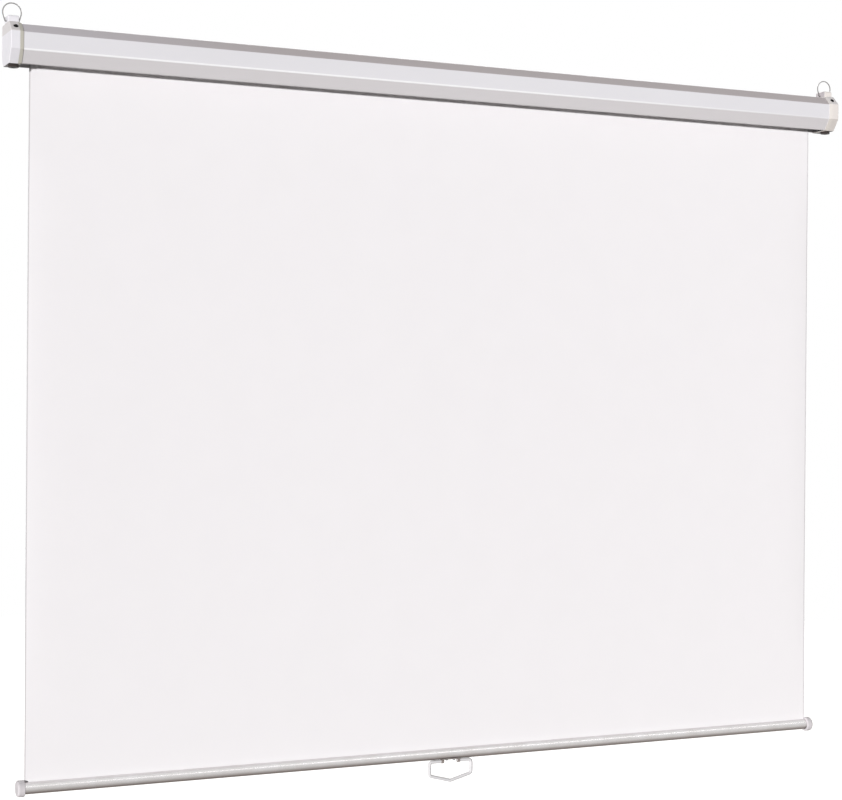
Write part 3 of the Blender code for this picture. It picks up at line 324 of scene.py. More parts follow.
def cap_moulding():
    """The caps' plastic in fitted tones: painted shade on the rims, the top slopes, the lugs' inner sides and
    the underside, a dark boss, and a right-hand cap tinted warmer as painted light.
    """
    made = moulded("cap_plastic", plain(236, 234, 238), plain(232, 231, 235), 0.42)
    tree, shader, body = reopened(made)
    axes = object_axes(tree)
    out = math_node(tree, "ABSOLUTE", axes["X"])
    # Painted shade: the sloping rim is darker and yellower, most of all on the left-hand cap.
    rim_end = CASE_HALF - CAP_WIDTH + CAP_RIM
    rim = math_node(tree, "MULTIPLY", ramp(tree, out, rim_end - 0.0008, rim_end, 1.0, 0.0),
                    ramp(tree, axes["X"], -0.5, 0.5, 1.0, 0.2))
    rim = math_node(tree, "MULTIPLY", rim, ramp(tree, axes["Z"], CASE_TOP + 0.0034, CASE_TOP + 0.0030))
    # The right-hand cap is tinted warmer as painted light, with painted shade below its fold.
    lower = ramp(tree, axes["Z"], FOLD_Z, FOLD_Z - 0.0010)
    right_cap_painted_light = mixed(tree, lower, plain(231, 225, 220), plain(217, 211, 205))
    coat = mixed(tree, ramp(tree, axes["X"], -0.5, 0.5), body, right_cap_painted_light)
    lug_foot = CASE_TOP + PROUD_TOP
    # Painted shade: the top slopes are darker, but the lugs are not.
    slope = ramp(tree, axes["Z"], CHAMFER_Z - 0.0002, CHAMFER_Z + 0.0010)
    lug = ramp(tree, axes["Z"], lug_foot, lug_foot + 0.0004)
    coat = mixed(tree, math_node(tree, "SUBTRACT", slope, lug), coat, plain(218, 214, 213))
    # Painted shade: the lugs' inner sides are darker.
    inner_side = CASE_HALF - LUG_INSET - LUG_WIDTH
    lug_inside_painted_shade = math_node(tree, "MULTIPLY", lug, ramp(tree, out, inner_side + 0.0012, inner_side + 0.0004))
    coat = mixed(tree, lug_inside_painted_shade, coat, plain(186, 180, 182))
    coat = mixed(tree, rim, coat, plain(205, 202, 190))
    # Everything below the cap's underside is near black: the boss is dark, and on the rest of the underside
    # this is painted shade.
    underside = CASE_BOTTOM - PROUD_BELOW
    two_colours(tree, shader, ramp(tree, axes["Z"], underside + 0.0003, underside), coat, plain(50, 43, 41))
    return made


def bar_cap_moulding():
    """A silvery plastic, with painted shade on the end faces, in fitted tones."""
    made = moulded("bar_cap_plastic", plain(214, 210, 212), plain(207, 203, 205), 0.5, shine=0.05)
    tree, shader, body = reopened(made)
    out = math_node(tree, "ABSOLUTE", object_axes(tree)["X"])
    # Painted shade: the end faces are greyer.
    two_colours(tree, shader, ramp(tree, out, BAR_END - 0.0036, BAR_END - 0.0024), body, plain(138, 141, 136))
    return made


cap_plastic = cap_moulding()
bar_cap_plastic = bar_cap_moulding()
handle_plastic = moulded(
    "handle_plastic", plain(219, 218, 219), plain(216, 215, 216), 0.55, 900.0, 0.000006, 0.0)
# Painted shade: the strap's grey-brown stands in for the shade under the tube.
strap_plastic = moulded("strap_plastic", plain(146, 138, 134), plain(136, 128, 124), 0.40)
nylon = moulded("nylon", plain(222, 219, 208), plain(214, 211, 200), 0.48)
black_nylon = moulded("black_nylon", plain(38, 37, 38), plain(30, 29, 30), 0.5)
print("made 6 plastics")

# %% [markdown]
# ### Metals
#
# The tube is extruded, so its marks run along its length, which the noise shows when it is squeezed along
# one axis. Wire, plated steel and oiled steel have fine blotches instead.


# %% Metals
def metal(name, colour, second, roughness, along=(1, 1, 1), scratch=900.0, depth=0.000008):
    made, tree, shader = start_finish(name, colour, roughness, 1.0)
    two_colours(tree, shader, spread(tree, place_noise(tree, 30.0), 0.0, 1.0), colour, second)
    sheen = spread(tree, place_noise(tree, scratch / 2, along), roughness - 0.07, roughness + 0.09)
    tree.links.new(sheen, shader.inputs["Roughness"])
    raise_grain(tree, shader, place_noise(tree, scratch, along), depth)
    return made


def tube_metal_painted_reflection():
    """Smooth bright metal, with a fitted deeper and warmer tone towards the underside that is a painted
    reflection.
    """
    bright, dull = plain(224, 222, 222), plain(216, 213, 212)
    made = metal("bar_metal", bright, dull, 0.20, (0.003, 1, 1), depth=0.000004)
    tree, shader, body = reopened(made)
    # A painted reflection: towards the underside the metal turns deep and warm, as if it mirrored a dark
    # floor.
    lower = ramp(tree, object_axes(tree)["Z"], TUBE_Z + 0.0030, TUBE_Z - 0.0085)
    two_colours(tree, shader, lower, body, plain(82, 70, 64))
    return made


bar_metal = tube_metal_painted_reflection()
bright_wire = metal("bright_wire", plain(176, 174, 173), plain(150, 148, 148), 0.30)
plated_steel = metal("plated_steel", plain(196, 197, 200), plain(176, 178, 184), 0.34)
dark_steel = metal("dark_steel", plain(96, 95, 97), plain(80, 79, 82), 0.42)
spring_steel = metal("spring_steel", plain(112, 108, 104), plain(92, 88, 86), 0.38)
black_screw = metal("black_screw", plain(30, 29, 30), plain(22, 21, 22), 0.38)
print("made 6 metals")

# %% [markdown]
# ### The screen's cloth
#
# A matt white projection cloth is glass fibre or polyester coated on both sides. It must not shine, so its
# roughness is near one, and a plain weave just shows through the coating. A greyer line two millimetres wide
# runs down each side. The line comes from the distance to the cloth's
# middle, read from the Object coordinates.


# %% Cloth
def screen_cloth():
    made, tree, shader = start_finish("screen_cloth", plain(243, 241, 242), 0.93)
    shader.inputs["Specular IOR Level"].default_value = 0.2
    axes = object_axes(tree)
    thread = math.tau / 0.0011
    across, down = (math_node(tree, "SINE", math_node(tree, "MULTIPLY", axes[way], thread)) for way in "XZ")
    weave = math_node(tree, "MULTIPLY", across, down)
    from_middle = math_node(tree, "ABSOLUTE", math_node(tree, "SUBTRACT", axes["X"], CLOTH_MIDDLE))
    grey_side_line = math_node(tree, "GREATER_THAN", from_middle, CLOTH_HALF - 0.0020)
    tone = spread(tree, place_noise(tree, 14.0), 0.0, 1.0)
    coat = mixed(tree, tone, plain(243, 241, 242), plain(242, 240, 241))
    two_colours(tree, shader, grey_side_line, coat, plain(206, 204, 205))
    raise_grain(tree, shader, weave, 0.00002)
    return made


cloth_finish = screen_cloth()
print("made", cloth_finish.name)

# %% [markdown]
# ## Shapes from sections
#
# Most pieces here are one section carried along the wall, or turned about a line along it. These helpers
# draw the section as (y, z) points, put a fillet at its corners, and skin a row of such rings.


# %% Helpers for sections
def fillet(before, corner, after, radius, steps=8):
    """Points of the arc at a corner."""
    corner_at = Vector(corner)
    back, forth = Vector(before) - corner_at, Vector(after) - corner_at
    half = back.angle(forth) / 2
    reach = min(radius / math.tan(half), 0.45 * back.length, 0.45 * forth.length)
    radius = reach * math.tan(half)
    centre = corner_at + (back.normalized() + forth.normalized()).normalized() * (radius / math.sin(half))
    start, end = (corner_at + way.normalized() * reach - centre for way in (back, forth))
    return [tuple(centre + start.lerp(end, step / steps).normalized() * radius) for step in range(steps + 1)]


def rounded(corners, radius, steps=8):
    """A closed outline with a fillet at every corner."""
    points = []
    for before, corner, after in zip(corners[-1:] + corners[:-1], corners, corners[1:] + corners[:1]):
        points += fillet(before, corner, after, radius, steps)
    return points


def rounded_path(corners, radius, steps=8):
    """An open path with a fillet at each inner corner."""
    points = [tuple(corners[0])]
    for before, corner, after in zip(corners, corners[1:], corners[2:]):
        points += fillet(before, corner, after, radius, steps)
    return points + [tuple(corners[-1])]


def moved_out(corners, moves):
    """A closed anticlockwise outline with each edge moved outwards by its own distance."""
    lines = []
    for (y0, z0), (y1, z1), move in zip(corners, corners[1:] + corners[:1], moves):
        length = math.hypot(y1 - y0, z1 - z0)
        ny, nz = (z1 - z0) / length, (y0 - y1) / length
        lines.append((ny, nz, ny * y0 + nz * z0 + move))
    moved = []
    for (a, b, c), (d, e, f) in zip(lines[-1:] + lines[:-1], lines):
        det = a * e - b * d
        moved.append(((c * e - b * f) / det, (a * f - c * d) / det))
    return moved


def beside(points, distance):
    """An open path moved to its right-hand side."""
    rights = [Vector((z1 - z0, y0 - y1)).normalized() for (y0, z0), (y1, z1) in zip(points, points[1:])]
    moved = []
    for point, before, after in zip(points, rights[:1] + rights, rights + rights[-1:]):
        moved.append(tuple(Vector(point) + distance * (before + after) / (1 + before.dot(after))))
    return moved


def skin(shape, rings):
    """Faces between rings of as many points, with a face on both ends."""
    rows = [[shape.verts.new(point) for point in ring] for ring in rings]
    for near, far in zip(rows, rows[1:]):
        for i in range(len(near)):
            j = (i + 1) % len(near)
            shape.faces.new((near[i], near[j], far[j], far[i]))
    shape.faces.new(rows[0])
    shape.faces.new(rows[-1])


def pulled(outline, places):
    """A (y, z) outline pulled along the wall through the given places on X."""
    shape = bmesh.new()
    skin(shape, [[(x, y, z) for y, z in outline] for x in places])
    return shape


def quarter_turn(steps):
    """Angles from nothing to a right angle."""
    return [math.pi / 2 * step / steps for step in range(steps + 1)]


def round_wall(z, outside, inside, angles):
    """The (y, z) outline of a round wall about the cloth's plane: its outer face, then back on its inner."""
    outer, inner = (
        [(CLOTH_Y + radius * math.cos(angle), z + radius * math.sin(angle)) for angle in angles]
        for radius in (outside, inside))
    return outer + inner[::-1]


def turned(profile, steps=64):
    """A shape turned about the X axis from (x, radius) points."""
    shape = bmesh.new()
    points = [shape.verts.new((x, radius, 0)) for x, radius in profile]
    edges = [shape.edges.new(pair) for pair in zip(points, points[1:])]
    bmesh.ops.spin(shape, geom=points + edges, cent=(0, 0, 0), axis=(1, 0, 0), angle=math.tau,
                   steps=steps, use_merge=True)
    bmesh.ops.remove_doubles(shape, verts=shape.verts, dist=1e-7)
    return shape


def placed(shape, matrix):
    bmesh.ops.transform(shape, matrix=matrix, verts=shape.verts)
    return shape


# %% [markdown]
# ## From a shape to a piece
#
# A smooth-shaded flat facet between two small arcs looks pillowed, because its corners share their normals
# with the arcs. The Weighted Normal modifier gives the large face the say, so flats stay flat and folds stay
# round. Modifiers are then baked in, because the frame's calls want a finished mesh.


# %% Helpers for pieces
def write_shape(shape, mesh, sharp):
    """The bmesh goes into the mesh, welded, facing outwards, and smooth but for its sharp edges."""
    bmesh.ops.remove_doubles(shape, verts=shape.verts, dist=1e-7)
    bmesh.ops.recalc_face_normals(shape, faces=shape.faces)
    shape.to_mesh(mesh)
    shape.free()
    mesh.shade_smooth()
    mesh.set_sharp_from_angle(angle=math.radians(sharp))


def as_object(name, shape, finish=None, sharp=35):
    """The bmesh as an object at the origin."""
    mesh = bpy.data.meshes.new(name)
    write_shape(shape, mesh, sharp)
    made = linked(name, mesh)
    if finish:
        mesh.materials.append(finish)
    return made


def settle(piece):
    """Bakes a piece's modifiers into its mesh."""
    graph = bpy.context.evaluated_depsgraph_get()
    mesh = bpy.data.meshes.new_from_object(piece.evaluated_get(graph), depsgraph=graph)
    piece.modifiers.clear()
    piece.data = mesh
    return piece


def even_normals(piece):
    weigh = piece.modifiers.new("flats stay flat", "WEIGHTED_NORMAL")
    weigh.keep_sharp = True
    weigh.weight = 100
    return settle(piece)


def combine(piece, helper, operation="DIFFERENCE"):
    """Cuts or joins with a helper; settle() bakes it."""
    step = piece.modifiers.new(helper.name, "BOOLEAN")
    step.operation = operation
    step.solver = "EXACT"
    step.object = helper


def finish_piece(piece, helpers, sharp=35):
    """Bakes the cuts and joins, throws the helpers away and evens the normals."""
    settle(piece)
    for helper in helpers:
        bpy.data.objects.remove(helper)
    piece.data.shade_smooth()
    piece.data.set_sharp_from_angle(angle=math.radians(sharp))
    return even_normals(piece)


def hand_over(piece, body, slot, *cad_nodes):
    """The piece rides on its body and stands for its CAD nodes; the slot is not used."""
    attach(piece, body)
    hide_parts(*cad_nodes)
    print(f"{piece.name}: {len(piece.data.polygons)} faces, on {body}, for {', '.join(cad_nodes)}")


# %% [markdown]
# ## The case, by Geometry Nodes
#
# A roll-former bends one strip of sheet, fold after fold, and the section never changes along the length.
# That rule is what Geometry Nodes are for: the section is drawn once as a single face, and a small tree
# pulls it along the wall by its length. Extrude Mesh leaves the first end open, so the tree adds the section
# again, turned over, and merges the two.


# %% The case's section
def case_corners():
    """Outside corners as (y, z), anticlockwise from the top rear."""
    return [
        (0, CASE_TOP), (-CASE_DEPTH + TOP_CHAMFER, CASE_TOP), (-CASE_DEPTH, CHAMFER_Z),
        (-CASE_DEPTH, FOLD_Z), (-CASE_DEPTH + LOWER_SETBACK, CASE_BOTTOM),
        (-REAR_SETBACK, CASE_BOTTOM), (0, CASE_BOTTOM + REAR_CHAMFER)]


def sheet_section():
    """The bent sheet's section, from the front lip of the slot round to the rear lip."""
    corners = case_corners()
    lip_top = CASE_BOTTOM + LIP_HEIGHT
    way = [(CLOTH_Y - SLOT_FRONT, lip_top), (CLOTH_Y - SLOT_FRONT, CASE_BOTTOM)]
    way += corners[4:0:-1] + corners[:1] + corners[:4:-1]
    way += [(CLOTH_Y + SLOT_REAR, CASE_BOTTOM), (CLOTH_Y + SLOT_REAR, lip_top)]
    outer = rounded_path(way, FOLD_RADIUS, 10)
    inner = beside(outer, SHEET)
    return outer, inner


outer_path, inner_path = sheet_section()
print("points round the section:", len(outer_path))


# %% A tree that pulls a section along the wall
def new_tree(name, inputs):
    """An empty geometry tree with named inputs; returns the tree and its input node."""
    tree = bpy.data.node_groups.new(name, "GeometryNodeTree")
    tree.interface.new_socket("Geometry", in_out="INPUT", socket_type="NodeSocketGeometry")
    tree.interface.new_socket("Geometry", in_out="OUTPUT", socket_type="NodeSocketGeometry")
    for label, kind, value in inputs:
        socket = tree.interface.new_socket(label, in_out="INPUT", socket_type=kind)
        if value is not None:
            socket.default_value = value
    entry = tree.nodes.new("NodeGroupInput")
    return tree, entry


def close_tree(tree, entry, geometry):
    """Realize Instances and Set Material end every tree, because the export drops instances."""
    realize = tree.nodes.new("GeometryNodeRealizeInstances")
    dress = tree.nodes.new("GeometryNodeSetMaterial")
    leave = tree.nodes.new("NodeGroupOutput")
    connect(tree, (geometry, realize.inputs["Geometry"]),
            (realize.outputs["Geometry"], dress.inputs["Geometry"]),
            (entry.outputs["Finish"], dress.inputs["Material"]),
            (dress.outputs["Geometry"], leave.inputs["Geometry"]))


def attribute(tree, name, kind="FLOAT"):
    """What each point carries under that name."""
    read = tree.nodes.new("GeometryNodeInputNamedAttribute")
    read.data_type = kind
    read.inputs["Name"].default_value = name
    return read.outputs["Attribute"]


def run_tree(piece, tree, **values):
    """Puts the tree on a piece, sets its inputs by their identifiers and bakes the result."""
    grow = piece.modifiers.new(tree.name, "NODES")
    grow.node_group = tree
    for item in tree.interface.items_tree:
        if item.in_out == "INPUT" and item.name in values:
            grow[item.identifier] = values[item.name]
    bpy.context.view_layer.update()
    return settle(piece)


def pulled_section_tree():
    tree, entry = new_tree("Section pulled along the wall", (
        ("Length", "NodeSocketFloat", 1.0), ("Finish", "NodeSocketMaterial", None)))
    reach = tree.nodes.new("ShaderNodeCombineXYZ")
    pull = tree.nodes.new("GeometryNodeExtrudeMesh")
    pull.mode = "FACES"
    pull.inputs["Individual"].default_value = False
    back = tree.nodes.new("GeometryNodeFlipFaces")
    join = tree.nodes.new("GeometryNodeJoinGeometry")
    weld = tree.nodes.new("GeometryNodeMergeByDistance")
    weld.inputs["Distance"].default_value = 1e-6
    connect(tree, (entry.outputs["Length"], reach.inputs["X"]),
            (entry.outputs["Geometry"], pull.inputs["Mesh"]),
            (reach.outputs["Vector"], pull.inputs["Offset"]),
            (entry.outputs["Geometry"], back.inputs["Mesh"]),
            (pull.outputs["Mesh"], join.inputs["Geometry"]),
            (back.outputs["Mesh"], join.inputs["Geometry"]),
            (join.outputs["Geometry"], weld.inputs["Geometry"]))
    close_tree(tree, entry, weld.outputs["Geometry"])
    return tree


section_tree = pulled_section_tree()
print("tree:", section_tree.name)


# %% Screw seats
# Each end has two screws. A seat is a name, a distance from the end of the case, a point of the section, the
# way that the screw faces, the height of the surface there, and how far the head is sunk into it.
SCREW_INSET = 0.0105
HEAD_RADIUS, SHANK_RADIUS = 0.0041, 0.0020
COUNTERBORE_TOP, COUNTERBORE_BELOW = 0.0009, 0.0015
seats = (
    ("top", SCREW_INSET, (-CASE_DEPTH + TOP_CHAMFER / 2, CASE_TOP - TOP_CHAMFER / 2),
     (-math.sqrt(0.5), math.sqrt(0.5)), (PROUD_TOP + PROUD_FRONT) / 2, COUNTERBORE_TOP),
    ("bottom", CAP_WIDTH / 2, (BOSS_Y, CASE_BOTTOM), (0, -1), PROUD_BELOW + BOSS_HEIGHT, COUNTERBORE_BELOW),
)


def facing(x, point, outward):
    """Local +X turned to look straight out of a facet, at x along the case."""
    tilt = Matrix.Rotation(math.atan2(outward[1], outward[0]), 4, "X")
    return Matrix.Translation((x, *point)) @ tilt @ Matrix.Rotation(math.pi / 2, 4, "Z")


def screw_room(side):
    """The stepped room for each screw of an end, with a small chamfer at its mouth."""
    rooms = []
    for which, inset, point, outward, surface, sunk in seats:
        seat = surface - sunk
        hole, bore, bevel = SHANK_RADIUS + GAP, HEAD_RADIUS + 2 * GAP, 0.0003
        profile = [(-0.008, 0), (-0.008, hole), (seat, hole), (seat, bore), (surface - bevel, bore),
                   (surface + 0.01, bore + bevel + 0.01), (surface + 0.01, 0)]
        axis = facing(side * (CASE_HALF - inset), point, outward)
        rooms.append(as_object(f"room_{which}_{side}", placed(turned(profile, 48), axis)))
    return rooms


# %% The case itself
def painted_case():
    half = CASE_HALF - CAP_WALL - GAP
    shape = bmesh.new()
    outline = outer_path + inner_path[::-1]
    shape.faces.new([shape.verts.new((-half, y, z)) for y, z in outline])
    case = as_object("painted_case", shape, paint)
    if case.data.polygons[0].normal.x < 0:
        case.data.flip_normals()
    run_tree(case, section_tree, Length=2 * half, Finish=paint)
    rooms = screw_room(-1) + screw_room(1)
    for room in rooms:
        combine(case, room)
    finish_piece(case, rooms, 60)
    hand_over(case, "case", "case_paint", "case_shell")


painted_case()

# %% [markdown]
# ## The end caps
#
# Each cap is a moulding that slips over the end of the case: a flat end face with a small round edge, a band
# that stands proud of the sheet, and a rim that slopes down to it. A block on top takes the hang ring, and a
# round boss underneath takes a screw. The cap is skinned from the case's own section, moved outwards by a
# different amount on each facet, then hollowed, joined and drilled with Boolean modifiers.


# %% End caps
def cap_outside(side):
    proud = (PROUD_TOP, (PROUD_TOP + PROUD_FRONT) / 2, PROUD_FRONT, (PROUD_FRONT + PROUD_BELOW) / 2,
             PROUD_BELOW, PROUD_BELOW, 0)
    rim = [GAP + RIM_WALL] * 6 + [0]
    stations = []
    for angle in quarter_turn(5):
        shrink = CAP_EDGE * (1 - math.cos(angle))
        stations.append((CAP_EDGE * (1 - math.sin(angle)), [move - shrink for move in proud]))
    stations.reverse()
    slope = CAP_WIDTH - CAP_RIM
    for share, blend in ((-0.12, 0.0), (0.0, 0.02), (0.12, 0.12), (1.0, 1.0)):
        moves = [a + (b - a) * blend for a, b in zip(proud, rim)]
        stations.append((slope + share * CAP_RIM, moves))
    shape = bmesh.new()
    rings = []
    for along, moves in stations:
        x = side * (CASE_HALF - along)
        rings.append([(x, y, z) for y, z in rounded(moved_out(case_corners(), moves), CAP_CORNER)])
    skin(shape, rings)
    return shape


def cap_hollow(side):
    outline = rounded(moved_out(case_corners(), [GAP] * 6 + [0.01]), FOLD_RADIUS + GAP)
    return pulled(outline, [side * (CASE_HALF - along) for along in (CAP_WALL, CAP_WIDTH + 0.01)])


def lug_block(side):
    """The block on top, with round top edges and softly rounded ends."""
    foot = CASE_TOP + RIM_WALL
    shape = bmesh.new()
    rings = []
    edge = CAP_EDGE
    stations = [(edge - edge * math.cos(a), edge - edge * math.sin(a)) for a in quarter_turn(5)]
    stations += [(LUG_WIDTH - along, inset) for along, inset in reversed(stations)]
    for along, inset in stations:
        x = side * (CASE_HALF - LUG_INSET - along)
        rear, front = LUG_Y + LUG_DEPTH / 2 - inset, LUG_Y - LUG_DEPTH / 2 + inset
        top = LUG_TOP - inset
        outline = rounded_path([(rear, foot), (rear, top), (front, top), (front, foot)], LUG_CORNER)
        rings.append([(x, y, z) for y, z in outline])
    skin(shape, rings)
    return shape


def boss_stub(side):
    """The round boss, with a fillet at its foot and a round outer edge."""
    base = PROUD_BELOW + BOSS_HEIGHT
    round_edge, foot = 0.0016, 0.0012
    profile = [(PROUD_BELOW / 2, 0), (PROUD_BELOW / 2, BOSS_RADIUS + foot)]
    profile += [(PROUD_BELOW + foot * (1 - math.cos(a)), BOSS_RADIUS + foot * (1 - math.sin(a)))
                for a in quarter_turn(5)]
    profile += [(base - round_edge * (1 - math.sin(a)), BOSS_RADIUS - round_edge * (1 - math.cos(a)))
                for a in quarter_turn(5)]
    profile.append((base, 0))
    _, inset, point, outward, _, _ = seats[1]
    return placed(turned(profile, 56), facing(side * (CASE_HALF - inset), point, outward))


RING_WIRE = 0.0024
RING_Z = LUG_TOP - 0.0092


def end_cap(label, side):
    cap = as_object(f"end_cap_{label}_moulding", cap_outside(side), cap_plastic)
    bore = turned([(0, 0), (0, RING_WIRE / 2 + GAP), (1, RING_WIRE / 2 + GAP), (1, 0)], 24)
    reach = Matrix.Translation((side * CASE_HALF - 0.03, LUG_Y, RING_Z)) @ Matrix.Diagonal((0.06, 1, 1, 1))
    helpers = [as_object(f"hollow_{label}", cap_hollow(side)), as_object(f"lug_{label}", lug_block(side)),
               as_object(f"boss_{label}", boss_stub(side)), as_object(f"bore_{label}", placed(bore, reach))]
    for helper, operation in zip(helpers, ("DIFFERENCE", "UNION", "UNION", "DIFFERENCE")):
        combine(cap, helper, operation)
    rooms = screw_room(side)
    for room in rooms:
        combine(cap, room)
    finish_piece(cap, helpers + rooms, 32)
    hand_over(cap, "case", "cap_plastic", f"end_cap_{label}")


for label, side in SIDES:
    end_cap(label, side)

# %% [markdown]
# ## Screws, by Geometry Nodes
#
# Six screws of two sizes hold the caps and the handle's strap. A screw is modelled once, with a cross recess
# in its head. Each seat is a point that carries three values: which way is out, how far the screw was
# turned when it stopped, and its size. The tree sets a copy on each point.


# %% One screw and its tree
def one_screw():
    """A pan-head screw along +Z with its seat at the origin, made for a head of 1 in radius."""
    profile = [(-1.75, 0), (-1.62, 0.2), (-1.5, 0.42), (-0.06, 0.48), (0, 0.55), (0, 0.97)]
    profile += [(0.04, 1.0), (0.14, 1.0)]
    profile += [(0.14 + 0.36 * math.sin(a), 0.42 + 0.58 * math.cos(a)) for a in quarter_turn(8)[1:]]
    profile.append((0.5, 0))
    upright = Matrix.Rotation(math.radians(-90), 4, "Y")
    head = as_object("screw_pattern", placed(turned(profile, 40), upright))
    cutters = []
    for index in range(2):
        blade = bmesh.new()
        rings = []
        for (half_long, half_wide), z in (((0.30, 0.07), 0.16), ((0.50, 0.11), 0.6)):
            rings.append([(half_long * a, half_wide * b, z) for a, b in ((-1, -1), (1, -1), (1, 1), (-1, 1))])
        skin(blade, rings)
        quarter = Matrix.Rotation(math.pi / 2 * index, 4, "Z")
        cutters.append(as_object(f"recess_{index}", placed(blade, quarter)))
        combine(head, cutters[-1])
    return finish_piece(head, cutters, 32)


def screws_tree():
    tree, entry = new_tree("Screws on their seats", (
        ("Screw", "NodeSocketObject", None), ("Finish", "NodeSocketMaterial", None)))
    pattern = tree.nodes.new("GeometryNodeObjectInfo")
    aim = tree.nodes.new("FunctionNodeAlignRotationToVector")
    aim.axis = "Z"
    spin = tree.nodes.new("FunctionNodeAxisAngleToRotation")
    spin.inputs["Axis"].default_value = (0, 0, 1)
    both = tree.nodes.new("FunctionNodeRotateRotation")
    both.rotation_space = "LOCAL"
    copies = tree.nodes.new("GeometryNodeInstanceOnPoints")
    connect(tree, (entry.outputs["Screw"], pattern.inputs["Object"]),
            (attribute(tree, "outwards", "FLOAT_VECTOR"), aim.inputs["Vector"]),
            (attribute(tree, "stopped_at"), spin.inputs["Angle"]),
            (aim.outputs["Rotation"], both.inputs["Rotation"]),
            (spin.outputs["Rotation"], both.inputs["Rotate By"]),
            (entry.outputs["Geometry"], copies.inputs["Points"]),
            (pattern.outputs["Geometry"], copies.inputs["Instance"]),
            (both.outputs["Rotation"], copies.inputs["Rotation"]),
            (attribute(tree, "head_radius"), copies.inputs["Scale"]))
    close_tree(tree, entry, copies.outputs["Instances"])
    return tree


screw_pattern = one_screw()
screw_tree = screws_tree()
print("screw pattern:", len(screw_pattern.data.polygons), "faces")


# %% Screws on the caps
def set_screws(name, spots, finish):
    """A mesh of bare points, one for each (place, outwards, stopped_at, head_radius), turned into screws."""
    places, outs, angles, radii = zip(*spots)
    mesh = bpy.data.meshes.new(name)
    mesh.from_pydata(places, [], [])
    outwards = mesh.attributes.new("outwards", "FLOAT_VECTOR", "POINT")
    outwards.data.foreach_set("vector", [share for out in outs for share in out])
    for label, numbers in (("stopped_at", angles), ("head_radius", radii)):
        mesh.attributes.new(label, "FLOAT", "POINT").data.foreach_set("value", numbers)
    piece = linked(name, mesh)
    return run_tree(piece, screw_tree, Screw=screw_pattern, Finish=finish)


cap_spots = []
for _, side in SIDES:
    for index, (_, inset, point, outward, surface, sunk) in enumerate(seats):
        height = surface - sunk + GAP
        place = (side * (CASE_HALF - inset), point[0] + outward[0] * height, point[1] + outward[1] * height)
        cap_spots.append((place, (0, *outward), 0.4 + 0.9 * index + 0.5 * side, HEAD_RADIUS))
cap_screws = set_screws("cap_screws", cap_spots, black_screw)
hand_over(cap_screws, "case", "black_screw", "cap_screw_top_left", "cap_screw_bottom_left",
          "cap_screw_top_right", "cap_screw_bottom_right")

# %% [markdown]
# ## Bent wire, by Geometry Nodes
#
# The hang rings and the handle are round rods bent along a path. The path is a row of points joined by
# edges, and each point may carry its own thickness. The tree turns the edges into a curve and sweeps a
# circle along it, with the ends closed.


# %% The rod tree
def rod_tree():
    tree, entry = new_tree("Round rod along a path", (
        ("Radius", "NodeSocketFloat", 0.001), ("Sides", "NodeSocketInt", 24),
        ("Finish", "NodeSocketMaterial", None)))
    line = tree.nodes.new("GeometryNodeMeshToCurve")
    share = attribute(tree, "thickness")
    thick = tree.nodes.new("GeometryNodeSetCurveRadius")
    circle = tree.nodes.new("GeometryNodeCurvePrimitiveCircle")
    sweep = tree.nodes.new("GeometryNodeCurveToMesh")
    sweep.inputs["Fill Caps"].default_value = True
    connect(tree, (entry.outputs["Geometry"], line.inputs["Mesh"]),
            (line.outputs["Curve"], thick.inputs["Curve"]), (share, thick.inputs["Radius"]),
            (entry.outputs["Sides"], circle.inputs["Resolution"]),
            (entry.outputs["Radius"], circle.inputs["Radius"]),
            (thick.outputs["Curve"], sweep.inputs["Curve"]),
            (circle.outputs["Curve"], sweep.inputs["Profile Curve"]))
    if "Scale" in sweep.inputs:
        tree.links.new(share, sweep.inputs["Scale"])
    close_tree(tree, entry, sweep.outputs["Mesh"])
    return tree


def bent_rod(name, points, radius, finish, thickness=None, sides=28):
    """A round rod through the points, outwards-facing and smooth."""
    mesh = bpy.data.meshes.new(name)
    mesh.from_pydata(points, [(i, i + 1) for i in range(len(points) - 1)], [])
    shares = mesh.attributes.new("thickness", "FLOAT", "POINT")
    for index in range(len(points)):
        shares.data[index].value = thickness[index] if thickness else 1.0
    piece = linked(name, mesh)
    run_tree(piece, rods, Radius=radius, Sides=sides, Finish=finish)
    shape = bmesh.new()
    shape.from_mesh(piece.data)
    write_shape(shape, piece.data, 50)
    return piece


rods = rod_tree()
print("tree:", rods.name)

# %% [markdown]
# ### Hang rings
#
# Each ring is a horseshoe of bright steel wire: a round top, two straight legs that run in towards the block,
# and ends turned into its sides, which it swings on.


# %% Hang rings
RING_RADIUS, RING_RISE, LEG_CLEAR, RING_GRIP = 0.0166, 0.0330, 0.0026, 0.0040


def ring_path():
    leg = LUG_WIDTH / 2 + LEG_CLEAR
    centre = RING_RISE - RING_RADIUS
    start = math.acos(RING_RADIUS / math.hypot(leg, centre)) - math.atan2(centre, leg)
    arch = []
    for step in range(49):
        angle = math.pi - start + (2 * start - math.pi) * step / 48
        arch.append((RING_RADIUS * math.cos(angle), centre + RING_RADIUS * math.sin(angle)))
    end, bend = LUG_WIDTH / 2 - RING_GRIP, 0.8 * LEG_CLEAR
    path = [(-end, 0)] + fillet((-end, 0), (-leg, 0), arch[0], bend) + arch
    return path + fillet(arch[-1], (leg, 0), (end, 0), bend) + [(end, 0)]


for label, side in SIDES:
    middle = side * (CASE_HALF - LUG_INSET - LUG_WIDTH / 2)
    points = [(middle + x, LUG_Y, RING_Z + z) for x, z in ring_path()]
    ring = bent_rod(f"hang_ring_{label}_wire", points, RING_WIRE / 2, bright_wire, sides=20)
    hand_over(ring, f"ring_{label}", "bright_wire", f"hang_ring_{label}")

